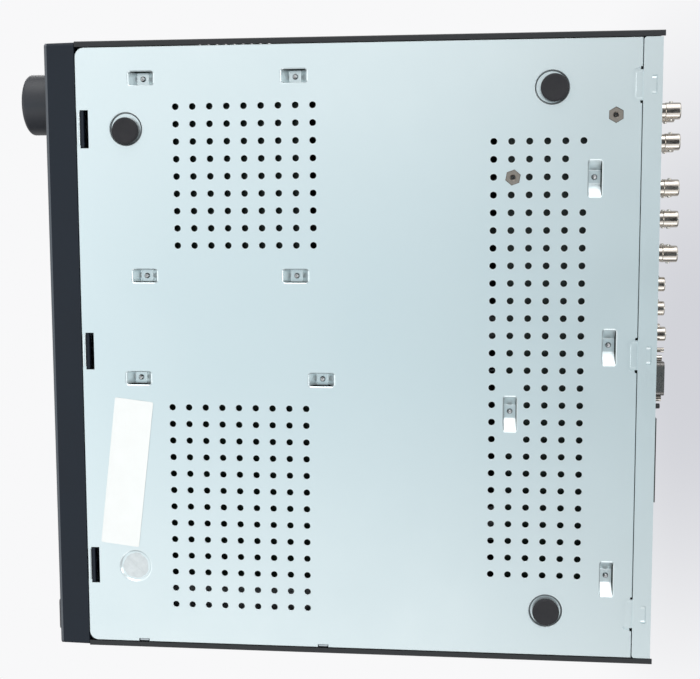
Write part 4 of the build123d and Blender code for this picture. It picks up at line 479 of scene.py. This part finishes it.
# %% Board and cable
def shader_of(made):
    """The surface shader that a finish ends in."""
    return next(node for node in made.node_tree.nodes if node.type == "BSDF_PRINCIPLED")


def board_lacquer():
    """Copper lanes as the edges of 4 mm cells, under green lacquer."""
    made = finish("green_solder_mask", ("#101F19", "#0D1914"), 15.0, (0.3, 0.4), 0.3, 0.006)
    tree = made.node_tree
    place = add(tree, "TexCoord").outputs["Object"]
    cell = 4.0 * MM
    lanes = add(tree, "TexVoronoi",
                {"feature": "DISTANCE_TO_EDGE", "distance": "CHEBYCHEV", "Scale": 1 / cell},
                {"Vector": place})
    line = add(tree, "MapRange", {"From Min": 0.03, "From Max": 0.06, "To Min": 1.0, "To Max": 0.0},
               {"Value": lanes.outputs[0]})
    shader = shader_of(made)
    under = shader.inputs["Base Color"].links[0].from_socket
    copper = add(tree, "Mix", {"data_type": "RGBA", 7: linear("#1B3327")},
                 {0: line.outputs[0], 6: under})
    tree.links.new(copper.outputs[2], shader.inputs["Base Color"])
    return made


def ribbed_cable():
    """Ribs as a sine across the ribbon, one per wire. This texture repeats 20
    times while its scaled coordinate runs through one full turn."""
    made = finish("ribbon_cable_pvc", ("#8B8E92", "#7F8286"), 20.0, (0.4, 0.5), 0.5, 0.01)
    tree = made.node_tree
    place = add(tree, "TexCoord").outputs["Object"]
    wire_pitch, rib_height = 1.27 * MM, 0.15 * MM
    ribs = add(tree, "TexWave", {"bands_direction": "X", "Scale": math.tau / 20 / wire_pitch},
               {"Vector": place})
    relief = add(tree, "Bump", {"Distance": rib_height}, {"Height": ribs.outputs[1]})
    tree.links.new(relief.outputs[0], shader_of(made).inputs["Normal"])
    return made


finishes["board_green"] = board_lacquer()
finishes["ribbon_grey"] = ribbed_cable()
print(len(finishes), "finishes")

# %% [markdown]
# ## Dressing the CAD solids
#
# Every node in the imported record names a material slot, and each slot has one
# finish here, so one short loop dresses the whole model. Two kinds of piece
# look different from the rest of their slot and get their own. Only the
# materials change: the solids' own shapes and places stay.

# %% Materials on the CAD nodes
slots = {row["node"]: row["material_slot"] for row in frame["record"]["subparts"]}
for name, solid in nodes.items():
    solid.data.materials.clear()
    solid.data.materials.append(finishes[slots[name]])
# Clinched standoffs are hardened before they are plated, so they are browner
# and duller than screws, and the monitor socket's drawn shell is tinned and
# blotchy. Both share the screws' slot, so only these two nodes change.
hardened = finish(
    "hardened_zinc_steel", ("#9E978F", "#857E77"), 2.0, (0.3, 0.42), 0.3, 0.01, Metallic=0.95)
tinned = finish(
    "hot_tinned_shell", ("#8E8C8A", "#343332"), 1.6, (0.18, 0.4), 0.3, 0.012, Metallic=1.0)
nodes["hex_standoffs"].data.materials[0] = hardened
nodes["video_socket"].data.materials[0] = tinned
print(len(nodes), "nodes dressed from", len(set(slots.values())), "slots")

# %% [markdown]
# ## Surfaces from arrays
#
# Turned, moulded and pressed pieces are all surfaces of two parameters. Each is
# computed as one array of points, row by row, and joined by four-sided faces
# between neighbours, which is far quicker than modelling it by hand and gives
# every repeat the same shape.

# %% Array helpers
def lattice(rows, columns):
    """Faces over a grid of closed rows: (i, j), (i, j+1), (i+1, j+1), (i+1, j)."""
    i, j = np.meshgrid(np.arange(rows - 1), np.arange(columns), indexing="ij")
    near, far = i * columns + j, i * columns + (j + 1) % columns
    return np.stack([near, far, far + columns, near + columns], -1).reshape(-1, 4)


def join(parts):
    """Several (points, faces) pairs as one, each one's face numbers moved up."""
    starts = np.cumsum([0] + [len(points) for points, _ in parts[:-1]])
    return (np.concatenate([points for points, _ in parts]),
            np.concatenate([faces + start for (_, faces), start in zip(parts, starts)]))


def copies(shape, spots):
    """The same points moved to each spot, with the face numbers moved up."""
    points, faces = shape
    spots = np.asarray(spots, float)
    placed = points[None] + spots[:, None]
    numbers = faces[None] + (np.arange(len(spots)) * len(points))[:, None, None]
    return placed.reshape(-1, 3), numbers.reshape(-1, 4)


# %% [markdown]
# ## From an array to a piece
#
# Rows that shrink to one point, such as the tip of a dome, are merged here, and
# the faces are turned outwards. Edges sharper than a set angle stay crisp and
# the rest are shaded smooth. A piece moves with the CAD body that it is put on,
# and hides the solids that it stands in for.

# %% Pieces and lathe
merge_gap, thin_edge = 0.002 * MM, 0.001 * MM


def piece(name, shape, slot, body, replaces=(), crisp=38.0, material=None):
    """Puts an array shape, in millimetres, into the scene on a CAD body, with
    edges sharper than crisp degrees left unsmoothed."""
    points, faces = shape
    mesh = bpy.data.meshes.new(name)
    mesh.from_pydata((points * MM).tolist(), [], faces.tolist())
    tidy = bmesh.new()
    tidy.from_mesh(mesh)
    bmesh.ops.remove_doubles(tidy, verts=tidy.verts, dist=merge_gap)
    bmesh.ops.dissolve_degenerate(tidy, edges=tidy.edges, dist=thin_edge)
    bmesh.ops.recalc_face_normals(tidy, faces=tidy.faces)
    tidy.to_mesh(mesh)
    tidy.free()
    mesh.shade_smooth()
    mesh.set_sharp_from_angle(angle=math.radians(crisp))
    mesh.materials.append(material or finishes[slot])
    made = bpy.data.objects.new(name, mesh)
    bpy.context.scene.collection.objects.link(made)
    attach(made, body)
    if replaces:
        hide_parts(*replaces)
    print(name, len(mesh.polygons), "faces on", body)


def turned(profile, axis, count=40):
    """A lathe: each (radius, height) pair carried round the axis, so a point is
    the height along it and radius times (cosine, sine) across it."""
    radius, height = np.asarray(profile, float).T[:, :, None]
    angle = np.linspace(0, math.tau, count, endpoint=False)[None]
    across, up = radius * np.cos(angle), radius * np.sin(angle)
    along = height + 0 * angle
    order = {"x": (along, across, up), "y": (across, along, up), "z": (across, up, along)}[axis]
    return np.stack(order, -1).reshape(-1, 3), lattice(len(profile), count)


# %% [markdown]
# ## Rubber feet
#
# The feet are short rubber discs glued into pressed recesses, a little narrower
# at the glued end. The edge is rounded, and years of standing make the face
# slightly hollow. A lathe profile gives all of that, and the same disc is
# copied to the three recesses that still have theirs, each as far off centre as
# it was stuck on.

# %% Feet
foot_spots = [(150.0, 119.5, 0), (-150.6, 118.3, 0), (128.9, -126.4, 0)]
foot_face = [(0, 0.35), (3.5, 0.3), (5.6, 0.12), (6.6, 0.0), (7.2, 0.1), (7.6, 0.4), (7.78, 0.9)]
foot_side = [(7.75, 1.5), (7.5, 2.6), (7.28, 3.95), (0, 3.95)]
foot = turned(foot_face + foot_side, "z", 64)
piece("feet", copies(foot, foot_spots), "feet_rubber", "recorder", ["rubber_feet"])

# %% [markdown]
# ## Vents
#
# A punch rolls the sheet's edge over as it goes in, so each vent has a soft
# lip before its straight wall. The lips are one three-sided ring each, 346 of
# them, so each has few faces. They stand in three blocks at a pitch of 10 mm,
# less the places where a bridge or a standoff is in the way.

# %% Vent lips
vent_pitch = 10.0
board_bridges = [(100.6, 142.7), (5.2, 152.1), (-33.8, 96.6), (-129.9, 152.9)]
bridge_low, bridge_high, bridge_half = 16.4, 14.6, 8.7
standoffs = [(134.7, 153.6), (100.5, 97.0)]
standoff_clear = 6.9


def vent_block(middle, columns, rows):
    """Rows and columns one pitch apart round a middle."""
    across = middle[0] + vent_pitch * (np.arange(columns) - (columns - 1) / 2)
    along = middle[1] + vent_pitch * (np.arange(rows) - (rows - 1) / 2)
    return np.stack(np.meshgrid(across, along, indexing="ij"), -1).reshape(-1, 2)


board_vents = vent_block((-4.3, 111.1), 26, 6)
across, along = board_vents.T
pierced = np.ones(len(board_vents), bool)
for x, y in board_bridges:
    pierced &= ~((across > x - bridge_low) & (across < x + bridge_high) & (abs(along - y) < bridge_half))
for spot in standoffs:
    pierced &= np.hypot(*(board_vents - spot).T) >= standoff_clear
power_vents = vent_block((102.5, -56.8), 9, 9)
disc_vents = vent_block((-93.1, -61.8), 13, 9)
vents = np.concatenate([power_vents, disc_vents, board_vents[pierced]])
vent_spots = np.column_stack([vents, 0 * vents[:, 0]])
lip = turned([(2.13, 2.985), (1.975, 2.99), (1.985, 3.95), (2.13, 2.985)], "z", 16)
print(len(vents), "vents")
piece("vent_lips", copies(lip, vent_spots), "plate_zinc", "recorder", crisp=110.0)

# %% [markdown]
# ## Bayonet and phono sockets
#
# A bayonet barrel is turned from brass bar: a flange against the panel, a
# neck, a plain barrel with a chamfered mouth, and two studs pressed in at
# opposite sides. A phono shell is drawn from sheet, so its mouth is rolled.
# Their profiles run up the outside and down the bore, which gives the wall its
# thickness in one go.

# %% Sockets
rear_face = 178.55
socket_rows = (24.5, 45.5)
barrel_columns = (138.1, 120.66, 94.64, 76.78, 56.81)
phono_columns = ((39.26, 6.6), (25.24, 6.6), (10.42, 7.6))
barrel_flange = [(4.05, -7.0), (4.8, -7.0), (4.8, 0.32), (5.85, 0.32), (6.0, 0.5), (6.0, 1.6), (5.8, 1.85)]
barrel_neck = [(4.75, 1.9), (4.5, 2.15), (4.5, 2.3), (4.5, 4.5), (4.5, 4.6)]
# The second ring near each end holds the wall's smooth shading straight.
barrel_wall = [(4.8, 4.95), (4.8, 5.1), (4.8, 12.35), (4.8, 12.5)]
barrel_mouth = [(4.62, 13.1), (4.4, 13.2), (4.22, 13.1), (4.05, 12.7), (4.05, -7.0)]
barrel = turned(barrel_flange + barrel_neck + barrel_wall + barrel_mouth, "y", 48)

stud_along = 8.0
stud_out = turned([(0, 4.5), (1.0, 4.5), (1.0, 5.35), (0.85, 5.5), (0.5, 5.55), (0, 5.55)], "x", 20)
stud_in = (stud_out[0] * (-1, 1, 1), stud_out[1])
studs = copies(join([stud_out, stud_in]), [(0, stud_along, 0)])
barrel_spots = [(x, rear_face, z) for x in barrel_columns for z in socket_rows]
barrels = copies(join([barrel, studs]), barrel_spots)
piece("bayonet_barrels", barrels, "nickel", "recorder", ["bnc_barrels"])


def phono_shell(reach):
    """A drawn shell that stands out by reach, with its mouth rolled inwards."""
    outer, inner, back = 4.15, 3.3, -7.0
    outside = [(inner, back), (outer, back), (outer, reach - 0.7), (outer, reach - 0.5)]
    mouth = [(4.02, reach - 0.12), (3.75, reach), (3.45, reach - 0.12)]
    return turned(outside + mouth + [(inner, reach - 0.5), (inner, back)], "y", 40)


shells = []
for x, reach in phono_columns:
    shells.append(copies(phono_shell(reach), [(x, rear_face, z) for z in socket_rows]))
piece("phono_shells", join(shells), "nickel", "recorder", ["rca_shells"])

# %% [markdown]
# ## Screws
#
# All the screws are cold headed and thread rolled. The head is a low dome with
# a cross pressed into it, and the thread is drawn as rings rather than as a
# helix, because at this size the eye can't tell them apart.

# %% The shape of a screw
def screw(shank, length, head, count=36):
    """Rings from the tip to the seat, with the thread as a zigzag of radius,
    then the head: its dome less a cross that fades at two thirds of the radius."""
    pitch, depth = 0.5, 0.17
    head_high, rim_share, rings = 1.95, 0.75, 11
    arm, cross_deep, cross_reach = 0.42, 1.1, 0.68
    turns = np.arange(-length + 0.45, -0.3, pitch / 2)
    zigzag = shank - depth * (np.arange(len(turns)) % 2)
    tip = [(0, 0.55 - length), (shank * 0.3, 0.4 - length), (shank * 0.66, -length)]
    tip += [(shank * 0.74, -length), (shank - depth, 0.3 - length)]
    seat = [(shank - depth, 0), (head, 0), (head, rim_share * head_high)]
    side = turned(tip + list(zip(zigzag, turns)) + seat, "z", count)
    share = np.linspace(1, 0, rings)[:, None]
    angle = np.linspace(0, math.tau, count, endpoint=False)[None]
    across, up = head * share * np.cos(angle), head * share * np.sin(angle)
    dome = head_high * (rim_share + (1 - rim_share) * np.sqrt(1 - share**2)) + 0 * angle
    inside = (np.minimum(abs(across), abs(up)) < arm) & (share < cross_reach)
    cross = dome - np.where(inside, cross_deep * np.clip(1.4 - 1.6 * share, 0, 1), 0)
    top = np.stack([across, up, cross], -1).reshape(-1, 3), lattice(rings, count)
    return join([side, top])


def along_y(shape, way):
    """Turns a shape that points up so that it points along Y, either way."""
    points, faces = shape
    return np.stack([points[:, 0], way * points[:, 2], points[:, 1]], -1), faces


# %% [markdown]
# ## Screws in their places
#
# From below, only the tips show through the bridges, and at the rear only the
# heads. Inside, two hold the drive bracket, four the hard disc from its sides
# and seven the moulded front. One mesh takes all of those and another the
# heads at the rear, as they are one node each in the CAD model.

# %% Screws
board_level, bracket_level, disc_level, cover_level = 11.6, 11.2, 19.1, 62.0
screw_head = 2.8
front_bridges = [(44.7, -117.1), (159.0, -117.1), (44.7, -27.5), (159.0, -27.5)]
bridge_spots = [(x, y, board_level) for x, y in board_bridges + front_bridges]
bracket_spots = [(-16.0, y, bracket_level) for y in (-122.0, -12.7)]
standoff_spots = [(x, y, board_level) for x, y in standoffs]
inside_screws = [copies(screw(1.45, 4.0, screw_head), bridge_spots),
                 copies(screw(1.45, 3.6, screw_head), bracket_spots),
                 copies(screw(1.35, 4.0, screw_head), standoff_spots)]
for way, y in ((-1, -119.65), (1, -15.05)):
    disc_screw = along_y(screw(1.45, 5.5, screw_head), way)
    inside_screws.append(copies(disc_screw, [(x, y, disc_level) for x in (-142.5, -41.0)]))
post_face = -160.65
post_spots = [(-165, 34), (-90, 17), (-22, 32), (84, 17), (84, 55), (168, 17), (168, 55)]
post_screw = along_y(screw(1.3, 5.6, screw_head), 1)
inside_screws.append(copies(post_screw, [(x, post_face, z) for x, z in post_spots]))
piece("inside_screws", join(inside_screws), "screw_steel", "recorder", ["mounting_screws"])

cover_screw = along_y(screw(1.45, 4.4, screw_head), 1)
cover_heads = copies(cover_screw, [(x, 179.65, cover_level) for x in (-150, 0, 150)])
fan_x, fan_z, ways = -104.0, 45.2, (-16, 16)
fan_screw = along_y(screw(1.45, 10.5, screw_head), 1)
fan_corners = [(fan_x + a, rear_face, fan_z + b) for a in ways for b in ways]
rear_screws = join([cover_heads, copies(fan_screw, fan_corners)])
piece("rear_screws", rear_screws, "screw_steel", "recorder", ["panel_screws"])

# %% [markdown]
# ## Keys
#
# A key is moulded as a cap with a flange behind it and a stem that meets the
# switch. Its outline is the same rounded rectangle all the way, drawn in or
# out, so it is lofted: a row of points for each depth, and the front rows sunk
# to a shallow dish for the finger.

# %% Keys
def rounded(long, tall, corner, count=48):
    """Points round a rectangle whose corners are arcs: a corner's centre plus
    its radius times (cosine, sine)."""
    angle = (np.arange(count) + 0.5) * math.tau / count
    across, up = np.cos(angle), np.sin(angle)
    return np.stack([np.sign(across) * (long / 2 - corner) + corner * across,
                     np.sign(up) * (tall / 2 - corner) + corner * up], -1)


def lofted(middle, rings):
    """Rounded rectangles (depth, long, tall, corner, dish) round a middle in
    X and Z, joined along Y, each of them sunk by its own dish."""
    rows = []
    for depth, long, tall, corner, dish in rings:
        flat = rounded(long, tall, min(corner, long / 2, tall / 2))
        sunk = 0 * flat[:, 0] + depth + dish
        rows.append(np.stack([middle[0] + flat[:, 0], sunk, middle[1] + flat[:, 1]], -1))
    return np.concatenate(rows), lattice(len(rows), len(flat))


def key_cap(x, z, long, tall, reach, dish, soft, stem_end):
    """Front to back: the dished face, a soft edge, the cap, flange and stem. The
    dish is deepest in the middle and falls off with the square of the size."""
    fascia_face, flange, flange_thick, rim, stem, point = -174.25, -170.1, 1, 2.4, 3.6, 0.01
    face = fascia_face - reach
    dished = [(face, point, point, point, dish),
              (face, long * 0.3, tall * 0.3, 0.6, dish * 0.91),
              (face, long * 0.6, tall * 0.6, 1.0, dish * 0.64),
              (face, long - 3 * soft, tall - 3 * soft, 1.3, dish * 0.2),
              (face, long - 2 * soft, tall - 2 * soft, 1.3, 0)]
    cap = [(face + 0.3 * soft, long - 0.6 * soft, tall - 0.6 * soft, 1.4, 0),
           (face + soft, long, tall, 1.5, 0),
           (flange, long, tall, 1.5, 0)]
    back = [(flange, long + rim, tall + rim, 1.5, 0),
            (flange + flange_thick, long + rim, tall + rim, 1.5, 0),
            (flange + flange_thick, stem, stem, stem / 2, 0),
            (stem_end, stem, stem, stem / 2, 0),
            (stem_end, point, point, point, 0)]
    return lofted((x, z), dished + cap + back)


key_columns, key_rows = (2.0, 22.0, 42.0, 62.0), (33.0, 20.0)
key_order = ["channel_button_1", "channel_button_2", "channel_button_3", "channel_button_4",
             "rewind_button", "play_button", "record_button", "menu_button"]
for number, node_name in enumerate(key_order):
    row, column = divmod(number, len(key_columns))
    cap = key_cap(key_columns[column], key_rows[row], 14.0, 6.5, 1.2, 0.4, 0.35, -167.3)
    piece(node_name + "_cap", cap, "button_grey", nodes[node_name]["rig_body"], [node_name])
power_cap = key_cap(-164.0, 16.0, 19.0, 13.0, 3.2, 0.3, 0.9, -168.0)
power_body = nodes["power_button"]["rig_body"]
piece("power_button_cap", power_cap, slots["power_button"], power_body, ["power_button"])

# %% [markdown]
# ## The blank label
#
# A paper label that has been on for years is not quite flat: it ripples where
# the glue has let go and its corners lift. It is a rounded rectangle of rings
# round its middle, front and back, turned as it was stuck on, and nothing is
# printed on it.

# %% Label
def sticker(long, wide, corner, thick, turn, middle, level):
    """Rings from the middle to the edge and back: height is the level less the
    paper, a slow ripple and a lift that grows with the fourth power outwards."""
    rings, steps = 15, 96
    shares = np.concatenate([np.linspace(0, 1, rings), np.linspace(1, 0, rings)])[:, None]
    edge = rounded(long, wide, corner, steps)
    across, up = shares * edge[None, :, 0], shares * edge[None, :, 1]
    ripple = 0.05 * (1 + np.sin(across / 7.0 + up / 11.0)) * np.minimum(1, 1.6 - 1.6 * shares**2)
    lift = 0.22 * shares**4 * (abs(across * up) / (long * wide / 4)) ** 1.5
    front = (np.arange(2 * rings) < rings)[:, None]
    height = level - 0.01 - np.where(front, thick + ripple + lift, lift)
    cosine, sine = math.cos(turn), math.sin(turn)
    x = middle[0] + cosine * across - sine * up
    y = middle[1] + sine * across + cosine * up
    return np.stack([x, y, height], -1).reshape(-1, 3), lattice(2 * rings, steps)


plate_level, recess_level = 3.0, 4.0
label = sticker(88.9, 23.4, 1.0, 0.1, math.radians(6.9), (-73.0, -130.3), plate_level)
piece("paper_label", label, "label_paper", "recorder", ["blank_label"])

# %% [markdown]
# ## What is left of the fourth foot
#
# One foot is gone. Its adhesive stayed in the recess as a thin, smeared skin
# with a ragged edge, greyer and duller than the zinc round it. A disc of rings
# is enough for it: its edge and its thickness wander by a few sines.

# %% Adhesive residue
def residue(middle, radius, level):
    """Rings out from the middle and back: the edge's radius wanders with three
    waves and the skin's thickness with two ripples."""
    rings, steps = 12, 72
    share = np.concatenate([np.linspace(0, 1, rings), np.linspace(1, 0, rings)])[:, None]
    angle = np.linspace(0, math.tau, steps, endpoint=False)[None]
    waves = 1 + 0.03 * np.sin(3 * angle + 1) + 0.02 * np.sin(7 * angle)
    ragged = radius * (waves + 0.012 * np.sin(16 * angle + 2))
    across, up = share * ragged * np.cos(angle), share * ragged * np.sin(angle)
    smear = 0.10 + 0.04 * np.sin(1.3 * across + 0.5) * np.cos(0.9 * up)
    smear = smear + 0.03 * np.sin(2.9 * (across + up))
    front = (np.arange(2 * rings) < rings)[:, None]
    height = level - np.where(front, smear * np.minimum(1, 3 - 3 * share) + 0.01, 0.005)
    points = np.stack([middle[0] + across, middle[1] + up, height], -1)
    return points.reshape(-1, 3), lattice(2 * rings, steps)


adhesive = finish("dried_acrylic_adhesive", ("#B4BBBD", "#D6DCDE"), 3.0, (0.3, 0.6), 0.8, 0.03)
smeared = residue((-130.2, -126.4), 7.7, recess_level)
piece("foot_adhesive", smeared, "label_paper", "recorder", material=adhesive)

# %% [markdown]
# ## Fan rotor
#
# The rotor is one moulding: a cup over the motor and seven blades that are
# steep at the cup and flatter at the tip, because the tip moves faster.

# %% Fan
blades, fan_depth = 7, 172.75
blade_root, blade_span = 8.2, 9.5
half_chord, half_thick = 4.1, 0.5


def fan_blade(turn):
    """A sheet over reach and chord: the pitch falls from 46 to 30 degrees, the
    section is a thin lens, and each end closes on its own middle."""
    steps = 24
    reach = np.linspace(blade_root, blade_root + blade_span, 9)[:, None]
    chord = np.linspace(0, math.tau, steps, endpoint=False)[None]
    pitch = np.radians(46 - 16 * (reach - blade_root) / blade_span)
    long = half_chord * np.cos(chord)
    thick = half_thick * (np.sin(chord) + np.sin(chord / 2) ** 2 - 0.5)
    sideways = long * np.cos(pitch) - thick * np.sin(pitch)
    depth = long * np.sin(pitch) + thick * np.cos(pitch)
    way = turn + sideways / reach
    inner = np.stack([reach * np.cos(way), fan_depth + depth, reach * np.sin(way)], -1)
    ends = [np.repeat(inner[k].mean(0)[None], steps, 0)[None] for k in (0, -1)]
    rows = np.concatenate([ends[0], inner, ends[1]])
    return rows.reshape(-1, 3), lattice(len(rows), steps)


cup_profile = [(2.06, 169.9), (8.3, 169.9), (8.6, 170.2), (8.6, 176.4), (8.3, 176.75), (7.6, 176.9)]
cup_profile += [(2.06, 176.9), (2.06, 169.9)]
rotor = join([turned(cup_profile, "y", 48)] + [fan_blade(k * math.tau / blades) for k in range(blades)])
piece("fan_blades", copies(rotor, [(fan_x, 0, fan_z)]), "black_plastic", "fan_rotor", ["fan_rotor"])
